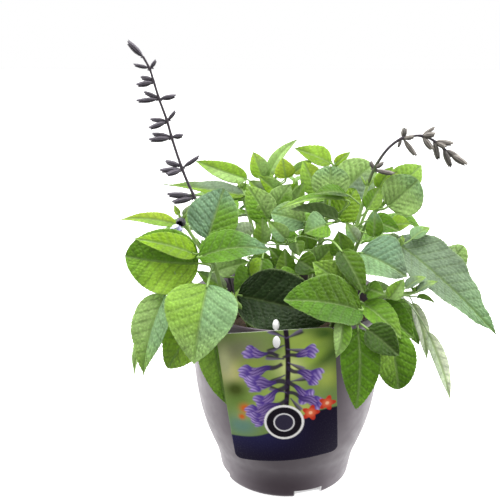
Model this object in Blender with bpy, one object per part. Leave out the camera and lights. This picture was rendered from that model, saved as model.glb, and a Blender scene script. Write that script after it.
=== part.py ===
"""A potted salvia: leafy shoots, two dark flower spikes, soil, a plastic pot and a picture card.

Tables are in millimetres. X runs to the right and Y away from the viewer of the front, where the
card hangs. The origin is the middle of the pot's underside.
"""
import math
import random
from collections import namedtuple

import bmesh
import bpy
from mathutils import Vector
from mathutils.bvhtree import BVHTree

MM = 0.001
SEED = 7

POT_SIDES = 40
POT_HEIGHT = 145.5
POT_RIM_RADIUS = 77.0
POT_WALL = 1.8
FOOT_RADIUS = 51.2
FLOOR_THICKNESS = 5.0
NOTCH_ANGLES = (21, -69, 111, 201)
NOTCH_SIZE = (21.0, 12.0, 11.0)
SOIL_TOP = 129.0
GAP = 0.3
CLEARANCE = 0.5
ROOT_HOLE_DEPTH = 26.0
ROOT_HOLE_EXTRA = 0.25
ROOT_HOLE_SIDES = 7

CARD_WIDTH = 78.0
CARD_HEIGHT = 104.0
CARD_THICKNESS = 0.8
CARD_CORNER = 5.0
CARD_TURN = math.radians(5.0)
CARD_MIDDLE = Vector((-3.0, -79.9, 95.5))
CARD_LEAN = 0.16
CARD_BOW = 0.007
CARD_TAPER = 0.08
CARD_COLUMNS = 8
PIN_HOLE = (0.5, 46.0)
PIN_HOLE_RADIUS = 2.6
PIN_HOLE_REACH = 5.0
PIN_HOLE_SIDES = 10
STRAP_RADIUS = 0.75

STEM_RADIUS = 2.0
STEM_TIP_RADIUS = 1.1
STEM_SIDES = 5
PETIOLE_RADIUS = 1.0
SHORT_PETIOLE = 14.0
BLADE_THICKNESS = 0.7
TOOTH_SPACING = 20.0
TOOTH_DEPTH = 0.11
TOOTH_NOTCH = 0.05
MOST_TEETH = 5
BLADE_TIP = 0.4
STALK_BEND = 0.4
LEAF_ASPECT = 0.62
FOLD = math.radians(16.0)

UP = (0.0, -0.3, 1.0)
FRONT = (0.0, -1.0, 0.45)
INNER_FRONT = -30
INNER_SIDE = 88
INNER_TOP = 214
INNER_FACE = (0.0, -0.6, 0.8)
INNER_PAIRS = (0.7,)
INNER_LENGTHS = (24, 36)
INNER_LEAF_SHOOTS = ("shoot_middle_left", "shoot_middle_right", "shoot_right_flower")

Leaf = namedtuple("Leaf", "joint base tip width faces arch sway point", defaults=(FRONT, 0.08, 0.0, 0.95))
Shoot = namedtuple("Shoot", "stem leaves")

# The outer side of the pot, from the underside's edge up to the rim: radius and height.
POT_SIDE = ((50.0, 0.0), (51.2, 1.6), (52.3, 7.0), (53.8, 15.0), (55.9, 22.5), (59.5, 31.5),
            (64.6, 45.5), (68.6, 61.5), (71.6, 82.0), (73.8, 110.0), (75.0, 138.5),
            (76.6, 140.0), (POT_RIM_RADIUS, 143.5), (76.2, POT_HEIGHT))


def pot_rings():
    """The pot's closed profile: up the outside, over the rim and down the inside."""
    inside = [(75.0, POT_HEIGHT), (73.0, 143.0)]
    for radius, height in reversed(POT_SIDE[4:11:2]):
        inside.append((radius - POT_WALL, height))
    inside.append((49.0, FLOOR_THICKNESS))
    return list(POT_SIDE) + inside


def soil_rings():
    """The soil's profile, which follows the inside of the pot at a small gap."""
    rings = [(49.0 - GAP - 0.6, FLOOR_THICKNESS + GAP)]
    for radius, height in POT_SIDE[4:10:2]:
        rings.append((radius - POT_WALL - GAP, height))
    rings.append((74.4 - POT_WALL - GAP, SOIL_TOP))
    return rings


def turned(rings, sides=POT_SIDES):
    """Points and faces of a closed solid turned round Z from a profile of radius and height."""
    points, faces = [], []
    for radius, height in rings:
        for step in range(sides):
            angle = 2 * math.pi * step / sides
            points.append(Vector((radius * math.cos(angle), radius * math.sin(angle), height)))
    for ring in range(len(rings) - 1):
        for step in range(sides):
            a = ring * sides + step
            b = ring * sides + (step + 1) % sides
            faces.append((a, b, b + sides, a + sides))
    last = (len(rings) - 1) * sides
    faces.append(tuple(reversed(range(sides))))
    faces.append(tuple(range(last, last + sides)))
    return points, faces


def tube(route, radii, sides):
    """Points and faces of a closed tube along a route, one radius for each of its points."""
    points, faces = [], []
    across = None
    for index, centre in enumerate(route):
        before = route[max(index - 1, 0)]
        after = route[min(index + 1, len(route) - 1)]
        along = (after - before).normalized()
        if across is None:
            guide = Vector((0, 1, 0)) if abs(along.y) < 0.8 else Vector((1, 0, 0))
            across = guide.cross(along).normalized()
        across = (across - along * across.dot(along)).normalized()
        other = along.cross(across)
        for step in range(sides):
            angle = 2 * math.pi * step / sides
            offset = across * math.cos(angle) + other * math.sin(angle)
            points.append(centre + offset * radii[index])
    for ring in range(len(route) - 1):
        for step in range(sides):
            a = ring * sides + step
            b = ring * sides + (step + 1) % sides
            faces.append((a, b, b + sides, a + sides))
    last = (len(route) - 1) * sides
    faces.append(tuple(reversed(range(sides))))
    faces.append(tuple(range(last, last + sides)))
    return points, faces


def smooth_route(points, steps):
    """A smooth curve through the points, with a number of steps between each two of them."""
    ends = [points[0]] + list(points) + [points[-1]]
    route = []
    for index in range(1, len(ends) - 2):
        p0, p1, p2, p3 = (Vector(p) for p in ends[index - 1:index + 3])
        for step in range(steps):
            t = step / steps
            route.append(0.5 * (2 * p1 + (p2 - p0) * t + (2 * p0 - 5 * p1 + 4 * p2 - p3) * t ** 2
                                + (3 * p1 - p0 - 3 * p2 + p3) * t ** 3))
    route.append(Vector(points[-1]))
    return route


def at_height(route, height):
    """The point of an upright route at a height, or its nearest end."""
    for low, high in zip(route, route[1:]):
        if low.z <= height <= high.z:
            return low.lerp(high, (height - low.z) / max(high.z - low.z, 1e-6))
    return route[-1].copy() if height > route[-1].z else route[0].copy()


def stem_tube(stem, grow=0.0):
    """A stem that thins towards its top."""
    route = smooth_route(stem, 2)
    last = len(route) - 1
    radii = [STEM_RADIUS + (STEM_TIP_RADIUS - STEM_RADIUS) * k / last + grow for k in range(last + 1)]
    return tube(route, radii, STEM_SIDES)


def leaf_axes(leaf):
    """Unit vectors along a blade, across it and out of its upper face, and its length."""
    chord = Vector(leaf.tip) - Vector(leaf.base)
    along = chord.normalized()
    normal = Vector(leaf.faces)
    normal = (normal - along * normal.dot(along)).normalized()
    return along, normal.cross(along), normal, chord.length


def spine(leaf, t):
    """The point of the midrib at a share t of the blade's length."""
    along, side, normal, length = leaf_axes(leaf)
    bend = length * 4 * t * (1 - t)
    return Vector(leaf.base) + along * (length * t) + normal * (leaf.arch * bend) + side * (leaf.sway * bend)


def outline(t, point):
    """Share of the full half width at a share t of the length, more pointed for a higher point."""
    widest = 0.5 / (0.5 + point)
    return (t / widest) ** 0.5 * ((1 - t) / (1 - widest)) ** point


def stations(leaf):
    """Shares of the length and half widths, a crest and a notch for each tooth."""
    length = (Vector(leaf.tip) - Vector(leaf.base)).length
    teeth = min(MOST_TEETH, max(1, round(length / TOOTH_SPACING)))
    half = leaf.width / 2
    rows = []
    for tooth in range(teeth):
        crest = 0.04 + 0.88 * (tooth + 0.45) / teeth
        notch = crest + TOOTH_NOTCH
        rows.append((crest, half * outline(crest, leaf.point)))
        rows.append((notch, half * outline(notch, leaf.point) * (1 - TOOTH_DEPTH)))
    return rows


def blade_rows(leaf, grow=0.0):
    """Cross-sections of the blade: middle, sideways, upwards, half width, half thickness, fold."""
    _, side, normal, _ = leaf_axes(leaf)
    thin = BLADE_THICKNESS / 2 + grow
    rows = [(spine(leaf, 0.0), side, normal, PETIOLE_RADIUS + grow, 0.7 * PETIOLE_RADIUS + grow, 0.0)]
    for t, half in stations(leaf):
        rows.append((spine(leaf, t), side, normal, half + grow, thin, FOLD))
    rows.append((spine(leaf, 1.0), side, normal, BLADE_TIP + grow, thin, 0.0))
    return rows


def petiole_rows(leaf, route, grow=0.0):
    """Cross-sections of the leaf's stalk, from inside the stem to the foot of the blade."""
    along, side, normal, _ = leaf_axes(leaf)
    start = at_height(route, leaf.joint)
    base = Vector(leaf.base)
    backwards = (base - spine(leaf, 0.1)).normalized()
    bend = base + backwards * (STALK_BEND * (base - start).length)
    bend.z = max(bend.z, min(start.z, base.z))
    middle = 0.25 * start + 0.5 * bend + 0.25 * base
    sections = [(start, middle - start), (middle, base - start)]
    if (base - start).length < SHORT_PETIOLE:
        sections = [(start, base - start)]
    rows = []
    for centre, ahead in sections:
        turn = along.rotation_difference(ahead.normalized())
        width = PETIOLE_RADIUS + grow
        rows.append((centre, turn @ side, turn @ normal, width, width, 0.0))
    return rows


def loft(rows):
    """Points and triangles of a closed solid through cross-sections, alike on both faces."""
    points, faces = [], []
    for middle, side, normal, half_width, half_thickness, fold in rows:
        lift = normal * (half_width * math.sin(fold))
        reach = side * (half_width * math.cos(fold))
        for place in (middle + reach + lift, middle, middle - reach + lift):
            points.append(place + normal * half_thickness)
            points.append(place - normal * half_thickness)
    for row in range(len(rows) - 1):
        a = 6 * row
        b = a + 6
        for p, q in ((0, 2), (2, 4)):
            faces += [(a + p, a + q, b + q), (a + p, b + q, b + p)]
            faces += [(a + p + 1, b + q + 1, a + q + 1), (a + p + 1, b + p + 1, b + q + 1)]
        faces += [(a, b, b + 1), (a, b + 1, a + 1)]
        faces += [(a + 4, b + 5, b + 4), (a + 4, a + 5, b + 5)]
    end = 6 * (len(rows) - 1)
    faces += [(0, 1, 3), (0, 3, 2), (2, 3, 5), (2, 5, 4)]
    faces += [(end, end + 3, end + 1), (end, end + 2, end + 3)]
    faces += [(end + 2, end + 5, end + 3), (end + 2, end + 4, end + 5)]
    return points, faces


def blade(leaf, grow=0.0):
    return loft(blade_rows(leaf, grow))


def petiole(leaf, route, grow=0.0):
    return loft(petiole_rows(leaf, route, grow) + blade_rows(leaf, grow)[:1])


def whole_leaf(leaf, route):
    """Stalk and blade in one solid, which starts inside the stem."""
    return loft(petiole_rows(leaf, route) + blade_rows(leaf))


def tree(solid):
    """A search tree of a solid's faces, for finding what crosses it."""
    points, faces = solid
    return BVHTree.FromPolygons([tuple(p) for p in points], [tuple(f) for f in faces])


def crosses(thing, others):
    return any(thing.overlap(other) for other in others)


def moved(leaf, base_shift, tip_shift):
    """The leaf with its base and tip moved nearer or farther and up or down."""
    base = Vector(leaf.base) + Vector(base_shift)
    tip = Vector(leaf.tip) + Vector(tip_shift)
    return leaf._replace(base=tuple(base), tip=tuple(tip))


def trial_moves():
    """Small moves in the order they are tried, smallest first."""
    moves = [((0, 0, 0), (0, 0, 0))]
    for step in (3, 6, 9, 12, 16, 20):
        for sign in (-1, 1):
            d = sign * step
            moves.append(((0, 0, 0), (0, d, 0)))
            moves.append(((0, d, 0), (0, d, 0)))
            moves.append(((0, d / 2, 0), (0, d, d / 3)))
            moves.append(((0, d / 2, 0), (0, d, -d / 3)))
            moves.append(((0, d, 0), (0, 0, 0)))
    return moves


def settled(shoots, obstacles):
    """Each shoot's leaves, moved clear of all other leaves, stems and obstacles.

    A leaf for which no trial move is clear is left off its stem.
    """
    routes = {name: smooth_route(shoot.stem, 4) for name, shoot in shoots.items()}
    stems = {name: tree(stem_tube(shoot.stem, CLEARANCE)) for name, shoot in shoots.items()}
    blades, petioles = [], []
    kept = {name: [] for name in shoots}
    waiting = [(name, leaf) for name, shoot in shoots.items() for leaf in shoot.leaves]
    waiting.sort(key=lambda pair: pair[1].faces == INNER_FACE)
    for name, leaf in waiting:
        other_stems = [stem for owner, stem in stems.items() if owner != name]
        other_petioles = [item for owner, item in petioles if owner != name]
        own_petioles = [item for owner, item in petioles if owner == name]
        for base_shift, tip_shift in trial_moves():
            trial = moved(leaf, base_shift, tip_shift)
            leaf_tree = tree(blade(trial, CLEARANCE))
            stalk_tree = tree(petiole(trial, routes[name], CLEARANCE))
            if crosses(leaf_tree, obstacles + other_stems + other_petioles + own_petioles + blades):
                continue
            if crosses(stalk_tree, obstacles + other_stems + other_petioles + blades):
                continue
            blades.append(leaf_tree)
            petioles.append((name, stalk_tree))
            kept[name].append(trial)
            break
    return kept


SHOOTS = {
    "shoot_left_front": Shoot(
        ((-36, -30, 117), (-45, -38, 150), (-51, -41, 178), (-60, -40, 195)),
        [Leaf(182, (-55, -60, 173), (-62, -90, 126), 52, FRONT, 0.14),
         Leaf(190, (-65, -44, 190), (-105, -60, 205), 21, (-0.2, -0.7, 0.75), 0.06),
         Leaf(190, (-62, -46, 189), (-12, -34, 191.5), 31, (0.1, -0.55, 0.8), 0.08, 0.05),
         Leaf(194, (-58, -35, 197), (-47, -18, 231), 40, (-0.1, -1.0, 0.3), 0.03, 0.0, 0.8),
         Leaf(180, (-64, -46, 181), (-114.5, -58, 189.5), 49, (-0.2, -0.9, 0.35), 0.08, 0.03, 0.6),
         Leaf(160, (-45, -30, 160), (-66, -32, 174), 12, FRONT)]),
    "shoot_left_low": Shoot(
        ((-48, -22, 117), (-57, -33, 148), (-68, -42, 166), (-76, -47, 172)),
        [Leaf(170, (-86, -56, 164), (-102, -64, 104.5), 31, (-0.4, -0.9, 0.2), 0.1, 0.0, 1.15),
         Leaf(168, (-88, -42, 154), (-114, -40, 92), 18, (-0.6, -0.8, 0.3), 0.1, 0.0, 1.2),
         Leaf(166, (-62, -54, 146), (-85, -58, 108), 32, FRONT, 0.06, 0.0, 0.8)]),
    "shoot_front_right": Shoot(
        ((28, -36, 117), (37, -44, 150), (45, -48, 160)),
        [Leaf(158, (52, -58, 155), (-2, -76, 168), 40, (0, -0.65, 0.75), 0.08, 0.0, 0.75),
         Leaf(160, (44, -44, 166), (18, -40, 184), 28, FRONT),
         Leaf(152, (49, -69, 146), (49, -78, 89), 29, FRONT, 0.1, 0.03, 0.95),
         Leaf(154, (38, -82, 155), (34, -90, 129), 14, (0.3, -1, 0.4), 0.16),
         Leaf(159, (54, -52, 156), (80, -68, 136), 24, (0.2, -0.6, 0.75)),
         Leaf(150, (55, -60, 147), (77, -66, 130), 23, (0.1, -0.85, 0.5))]),
    "shoot_front_left": Shoot(
        ((-22, -42, 117), (-30, -50, 148), (-38, -56, 161)),
        [Leaf(156, (-35, -53, 160), (32, -66, 149), 48, (0, -0.85, 0.5), 0.05, 0.0, 0.75),
         Leaf(150, (-53, -69, 145), (-42, -75, 86), 27, FRONT, 0.08)]),
    "shoot_right_mid": Shoot(
        ((42, -12, 117), (50, -18, 150), (57, -20, 176), (68, -16, 187), (84, -12, 190)),
        [Leaf(178, (53, -24, 187), (85, -40, 174), 42, (0.2, -0.7, 0.7)),
         Leaf(188, (80, -16, 190), (150, -59, 133), 48, (0.4, -0.7, 0.6), 0.08, -0.03, 1.1),
         Leaf(188, (92, -6, 194), (106, -3, 201), 14, UP),
         Leaf(188, (114, 8, 156), (134, 6, 185), 24, FRONT, 0.08, 0.0, 0.5)]),
    "shoot_left_old": Shoot(
        ((-40, -2, 117), (-55, 5, 158), (-76, 13, 191), (-82, 15, 199.3)),
        [Leaf(195, (-87, 15, 197), (-132, 15, 200), 13, (0.0, -0.7, 0.7), 0.06, -0.03, 1.2),
         Leaf(196, (-85.5, 15, 203), (-89, 15, 211), 5, FRONT),
         Leaf(196, (-82, 19, 203), (-72, 18, 213), 6, FRONT)]),
    "shoot_middle_left": Shoot(
        ((-14, 2, 117), (-18, 7, 165), (-24, 11, 200), (-23, 13, 208)),
        [Leaf(203, (-14, 13, 201), (-32, 18, 228), 25, FRONT),
         Leaf(205, (-10, 22, 210), (2, 24, 228), 20, FRONT),
         Leaf(192, (13, 6, 202), (-13, 8, 208), 26, (0, -0.8, 0.6), 0.08, 0.0, 0.7),
         Leaf(176, (-18, -28, 183), (-21, -46, 165), 18, FRONT),
         Leaf(172, (-28, -12, 177), (-7, -24, 167), 22, (0.2, -0.9, 0.3)),
         Leaf(160, (-24, -28, 168), (-38, -48, 158), 24, FRONT),
         Leaf(184, (-28, 2, 190), (-46, -6, 199), 22, FRONT),
         Leaf(184, (-1, -4, 192), (-15, -8, 207), 14, FRONT),
         Leaf(176, (-1, -14, 173), (-14, -18, 190), 14, FRONT),
         Leaf(176, (-19, -1, 187), (-19, 0, 207), 14, FRONT),
         Leaf(158, (-54, -18, 168), (-28, -20, 177), 17, (0.1, -0.8, 0.6))]),
    "shoot_middle_right": Shoot(
        ((18, -2, 117), (22, 5, 165), (28, 11, 198), (30, 12, 205)),
        [Leaf(204, (32, 14, 219), (32, 19, 243), 31, FRONT, 0.03, 0.0, 0.5),
         Leaf(200, (37, 4, 207), (2, 0, 215), 26, (0, 0.55, 0.85), 0.05),
         Leaf(200, (29, -12, 205), (12, -20, 200), 24, (0, -0.8, 0.6)),
         Leaf(198, (38, 14, 200), (52, 22, 224), 30, FRONT, 0.08, 0.0, 0.8),
         Leaf(180, (8, -28, 182), (22, -34, 175), 20, FRONT),
         Leaf(184, (38, -20, 192), (54, -40, 166), 20, (0.2, -0.9, 0.4)),
         Leaf(186, (6, -16, 193), (9, -22, 183), 13, FRONT),
         Leaf(162, (8, -26, 170), (-8, -46, 160), 24, FRONT),
         Leaf(158, (16, -24, 162), (22, -46, 156), 22, FRONT),
         Leaf(202, (43, 0, 221), (-8, -6, 213), 10, (0, -0.4, 0.9), 0.08, -0.06),
         Leaf(170, (20, -8, 172), (36, -10, 190), 20, FRONT),
         Leaf(188, (52, -4, 190), (43, -4, 205), 12, FRONT),
         Leaf(170, (16, -6, 178), (14, -8, 198), 15, FRONT),
         Leaf(150, (0, -12, 164), (-2, -14, 190), 17, FRONT)]),
    "shoot_right_flower": Shoot(
        ((34, 4, 117), (44, 8, 165), (53, 10, 200), (59.5, 10, 230)),
        [Leaf(205, (60, 8, 212), (70, 16, 228), 16, FRONT),
         Leaf(196, (62, 4, 204), (84, -2, 198), 18, (0.2, -0.8, 0.5)),
         Leaf(214, (44, 10, 223), (19, 2, 227), 16, (0, -0.55, 0.8)),
         Leaf(196, (64, 0, 195), (64, 2, 215), 14, FRONT),
         Leaf(172, (41, -4, 182), (37, -6, 206), 20, FRONT)]),
    "shoot_right_back": Shoot(
        ((40, 22, 117), (52, 27, 168), (63, 24, 200), (73, 22, 212)),
        [Leaf(209, (76, 14, 213), (98, 14, 234), 36, (0.1, -1, 0.2), 0.03, 0.0, 0.6),
         Leaf(211, (82, 36, 220), (106, 50, 239), 26, FRONT),
         Leaf(210, (72, 26, 218), (84, 30, 238), 16, FRONT),
         Leaf(204, (78, 4, 199), (93, -2, 202), 16, (0.2, -0.7, 0.6)),
         Leaf(206, (69, 26, 225), (80, 28, 242), 15, FRONT)]),
    "shoot_right_low": Shoot(
        ((48, -27, 117), (55, -36, 147), (65, -42, 159), (80, -42, 162), (92, -38, 162)),
        [Leaf(160, (73, -54, 140), (80.5, -64, 97), 31, FRONT, 0.1, 0.0, 0.6),
         Leaf(157, (64, -38, 152), (92, -38, 128), 26, (0.1, -0.9, 0.4)),
         Leaf(162, (104.5, -30, 128), (121.5, -40, 80), 12, (0.3, -0.9, 0.3)),
         Leaf(162, (93.5, -22, 148), (106, -22, 104), 12, (0.4, -0.9, 0.3)),
         Leaf(161, (84, -38, 167), (98, -36, 175), 11, UP),
         Leaf(161, (92, -38, 166), (106, -34, 172), 9, UP),
         Leaf(161, (94, -36, 158), (107, -34, 153), 8, UP),
         Leaf(158, (58, -44, 166), (68, -52, 165), 15, FRONT),
         Leaf(160, (73, -44, 160), (82, -44, 175), 13, FRONT),
         Leaf(159, (82, -28, 149), (100, -32, 114), 18, (0.2, -0.9, 0.4)),
         Leaf(146, (57, -22, 157), (78, -26, 156), 13, FRONT)]),
    "shoot_back_left": Shoot(
        ((-16, 26, 117), (-24, 38, 170), (-34, 46, 205), (-38, 50, 219)),
        [Leaf(214, (-34, 58, 225), (-76, 60, 239), 17, (0.0, -0.9, 0.5), 0.08, 0.03),
         Leaf(211, (-36, 46, 214), (-99, 36, 225), 20, (0, -0.5, 0.9), 0.05, 0.04, 1.4),
         Leaf(212, (-30, 48, 217), (-48, 44, 207), 16, FRONT),
         Leaf(208, (-38, 40, 213), (-70, 34, 210), 17, UP),
         Leaf(206, (-18, 44, 214), (-31, 42, 227), 16, FRONT)]),
    "shoot_back_middle": Shoot(
        ((-6, 30, 117), (-8, 42, 175), (-12, 52, 210), (-12, 56, 224)),
        [Leaf(222, (-21, 60, 226), (-29, 62, 247), 17, FRONT),
         Leaf(220, (-17, 60, 223), (7.5, 62, 257), 12, (-0.3, -0.8, 0.4), 0.08, 0.08),
         Leaf(220, (-2, 52, 227), (-5, 52, 244), 18, FRONT),
         Leaf(218, (4, 52, 231), (20, 50, 242), 10, FRONT),
         Leaf(200, (-6, 38, 206), (8, 42, 225), 22, FRONT),
         Leaf(204, (-6, 38, 215), (-24, 36, 232), 15, FRONT),
         Leaf(196, (2, 28, 202), (12, 28, 229), 15, FRONT)]),
    "shoot_back_right": Shoot(
        ((16, 30, 117), (22, 40, 178), (32, 48, 215), (38, 51, 236)),
        [Leaf(232, (34, 50, 240), (4.5, 50, 251.5), 20, (0, -0.7, 0.7), 0.08, 0.025),
         Leaf(233, (37, 50, 239), (49, 48, 249.5), 8, FRONT),
         Leaf(212, (40, 42, 216), (67, 52, 240), 36, FRONT, 0.05, 0.0, 0.6),
         Leaf(212, (24, 36, 218), (11, 40, 244), 22, FRONT)]),
}

# Shoots behind, which the front view doesn't show: foot and top of each stem.
BACK_SHOOTS = (((-34, 40, 117), (-62, 62, 205)), ((4, 52, 117), (6, 84, 214)),
               ((38, 42, 117), (68, 66, 204)))
# Pairs of leaves on such a shoot: the share of the stem's length they leave at, and their length.
BEHIND_PAIRS = ((0.55, 58), (0.78, 46), (0.96, 26))


def back_shoot(foot, top, chance):
    """A leaning shoot with opposite pairs of leaves, each pair turned from the one below."""
    foot, top = Vector(foot), Vector(top)
    bend = foot.lerp(top, 0.5)
    bend.z += 8
    leaves = []
    outwards = math.atan2(top.y, top.x)
    for pair, (share, length) in enumerate(BEHIND_PAIRS):
        joint = foot.lerp(top, share)
        for half in (0, 1):
            angle = outwards + math.pi * half + (math.pi / 2) * (pair % 2) + chance.uniform(-0.3, 0.3)
            away = Vector((math.cos(angle), math.sin(angle), 0))
            reach = length * chance.uniform(0.85, 1.1)
            base = joint + away * 12 + Vector((0, 0, 6))
            tip = base + away * reach + Vector((0, 0, reach * chance.uniform(-0.35, 0.15)))
            leaves.append(Leaf(joint.z, tuple(base), tuple(tip), reach * LEAF_ASPECT, (0, 0, 1), 0.1))
    return Shoot((tuple(foot), tuple(bend), tuple(top)), leaves)


def inner_leaves(shoot, chance):
    """Pairs of lesser leaves low on a shoot, kept away from the front and from the outer leaves."""
    route = smooth_route(shoot.stem, 4)
    low, high = Vector(shoot.stem[0]), Vector(shoot.stem[-1])
    leaves = []
    for share in INNER_PAIRS:
        joint = at_height(route, low.z + (high.z - low.z) * share)
        turn = chance.uniform(0, math.pi)
        for half in (0, 1):
            angle = turn + math.pi * half
            away = Vector((math.cos(angle), math.sin(angle), 0))
            reach = chance.uniform(*INNER_LENGTHS)
            base = joint + away * 9 + Vector((0, 0, 5))
            tip = base + away * reach + Vector((0, 0, reach * chance.uniform(-0.2, 0.4)))
            inside = tip.y > INNER_FRONT and abs(tip.x) < INNER_SIDE and tip.z < INNER_TOP
            if inside:
                leaves.append(Leaf(joint.z, tuple(base), tuple(tip), reach * LEAF_ASPECT, INNER_FACE, 0.1))
    return leaves


def all_shoots():
    """Every leafy shoot by name: those set out by eye, then the ones behind, then inner leaves."""
    chance = random.Random(SEED)
    shoots = dict(SHOOTS)
    for number, (foot, top) in enumerate(BACK_SHOOTS, 1):
        shoots[f"shoot_behind_{number}"] = back_shoot(foot, top, chance)
    for name in INNER_LEAF_SHOOTS:
        shoot = shoots[name]
        shoots[name] = Shoot(shoot.stem, shoot.leaves + inner_leaves(shoot, chance))
    return shoots


# A flower spike is a stem with calyces: points of the stem, then foot, tip and radius of each calyx.
LEFT_SPIKE_STEM = ((-38, 2, 117), (-43, 2, 150), (-52, 1, 182), (-61, 0, 203), (-72.4, 0, 226.5),
                   (-79.2, 0, 243.5), (-85.8, 0, 264.7), (-89.5, 0, 279), (-94.6, 0, 294),
                   (-98.3, 0, 307), (-101, 0, 316), (-105.5, 0, 324.5))
LEFT_CALYCES = (((-104.9, 0, 323.8), (-116, 0, 334.3), 2.0), ((-100.9, 0, 316.4), (-111.8, -2, 318.6), 1.2),
                ((-100.6, 0, 316.1), (-96.3, 1, 321.7), 1.2), ((-98.4, 0, 308), (-108, 3, 309.5), 1.7),
                ((-98.1, 0, 306.6), (-110.1, -3, 304.2), 1.8), ((-94.8, 0, 295.2), (-106, 3, 298.7), 1.5),
                ((-94.8, 0, 294.5), (-110.5, -3, 292.9), 1.6), ((-94.5, 0, 294.6), (-82.8, 1, 296.4), 1.7),
                ((-89.5, 0, 278.9), (-101.9, 3, 279), 1.5), ((-89.4, 0, 278.2), (-101.8, -4, 273.5), 1.7),
                ((-89.2, 0, 278.6), (-83.1, 1, 285.6), 1.2), ((-86.4, 0, 267.2), (-101, 3, 268.3), 1.7),
                ((-86.4, 0, 266.1), (-102.3, -3, 264.7), 1.8), ((-86.2, 0, 266.9), (-78.1, 1, 267.7), 1.7),
                ((-79.9, 0, 245.4), (-91.7, 4, 247.6), 1.9), ((-79.2, 0, 243.1), (-94.9, -2, 241.8), 1.9),
                ((-79.1, 0, 242.7), (-89.5, -7, 239.8), 1.8), ((-79.1, 0, 243.9), (-66.6, 2, 252.1), 1.4),
                ((-71, 0, 222.9), (-90.3, 0, 223.2), 2.1), ((-70.4, 0, 221.4), (-85.9, -5, 218.6), 1.9))
RIGHT_SPIKE_STEM = ((59.57, 10, 230.35), (61.4, 10, 235.8), (63.4, 10, 241), (67.6, 10, 249.5),
                    (74.3, 10, 258.8), (82.8, 10, 265.3), (92.2, 10, 267.6), (98.7, 10, 267.4),
                    (105.4, 10, 265), (113.2, 10, 259.5), (121, 10, 252.8))
RIGHT_CALYCES = (((64, 10, 242.2), (61, 10, 248.2), 1.3), ((64.4, 10, 243), (70.7, 8, 247.7), 1.4),
                 ((64, 10, 241.9), (78.4, 8, 239.3), 1.6), ((84.3, 10, 265.7), (85.5, 12, 273.1), 1.9),
                 ((84.3, 10, 265.6), (91.5, 5, 267.3), 1.5), ((83.2, 10, 265.2), (81, 9, 259.4), 1.0),
                 ((84.3, 10, 265.5), (93.5, 7, 253.4), 1.7), ((97.7, 10, 267.5), (107.2, 12, 273.5), 1.3),
                 ((98.1, 10, 267.4), (107, 7, 269), 1.9), ((98.5, 10, 267.1), (105.5, 7, 258), 2.0),
                 ((107.4, 10, 263.8), (120.5, 9, 261.8), 1.9), ((107.1, 10, 264), (110.6, 8, 250.8), 1.9),
                 ((108.6, 10, 262.9), (115, 6, 259.7), 1.7), ((114, 10, 258.6), (120.1, 8, 245.3), 1.9),
                 ((115.5, 10, 257.5), (126.3, 12, 251.1), 2.0), ((119.4, 10, 254.2), (131.7, 9, 246.6), 2.1))
SPIKE_RADIUS = 1.3
SPIKE_TIP_RADIUS = 0.8
SPIKE_SIDES = 5
CALYX_FOOT = 0.6


def spike_stem(points, grow=0.0):
    route = [Vector(p) for p in points]
    last = len(route) - 1
    taper = (SPIKE_TIP_RADIUS - SPIKE_RADIUS) / last
    return tube(route, [SPIKE_RADIUS + taper * k + grow for k in range(last + 1)], SPIKE_SIDES)


def calyx(foot, tip, radius, grow=0.0):
    """A bell-shaped calyx, narrow at its foot, widest past its middle and drawn in at its mouth."""
    foot, tip = Vector(foot), Vector(tip)
    route = [foot.lerp(tip, share) for share in (0.0, 0.55, 1.0)]
    return tube(route, [CALYX_FOOT + grow, radius + grow, 0.5 * radius + grow], SPIKE_SIDES)


# The withered flower at the top of the old shoot: foot and tip of its calyx and of its petals.
OLD_FLOWER_CALYX = ((-82, 14.7, 200.4), (-83, 6, 199.4))
OLD_FLOWER_PETALS = ((-83.3, 5.5, 198.7), (-90, -1.5, 194.3))
OLD_FLOWER_RADIUS = 3.2


def old_flower_calyx(grow=0.0):
    return calyx(*OLD_FLOWER_CALYX, OLD_FLOWER_RADIUS, grow)


def old_flower_petals(grow=0.0):
    return calyx(*OLD_FLOWER_PETALS, OLD_FLOWER_RADIUS, grow)


def card_place(u, v, depth):
    """A point of the hanging card: u across and v up from its middle, depth behind its face.

    The card leans in towards its foot, and its foot bows round the pot and so looks narrower.
    """
    u *= 1 + CARD_TAPER * v / CARD_HEIGHT
    across = u * math.cos(CARD_TURN) - v * math.sin(CARD_TURN)
    up = u * math.sin(CARD_TURN) + v * math.cos(CARD_TURN)
    low = max(0.0, 0.5 - v / CARD_HEIGHT)
    back = CARD_LEAN * max(0.0, -up) * low + CARD_BOW * low * across * across + depth
    return CARD_MIDDLE + Vector((across, back, up))


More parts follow.
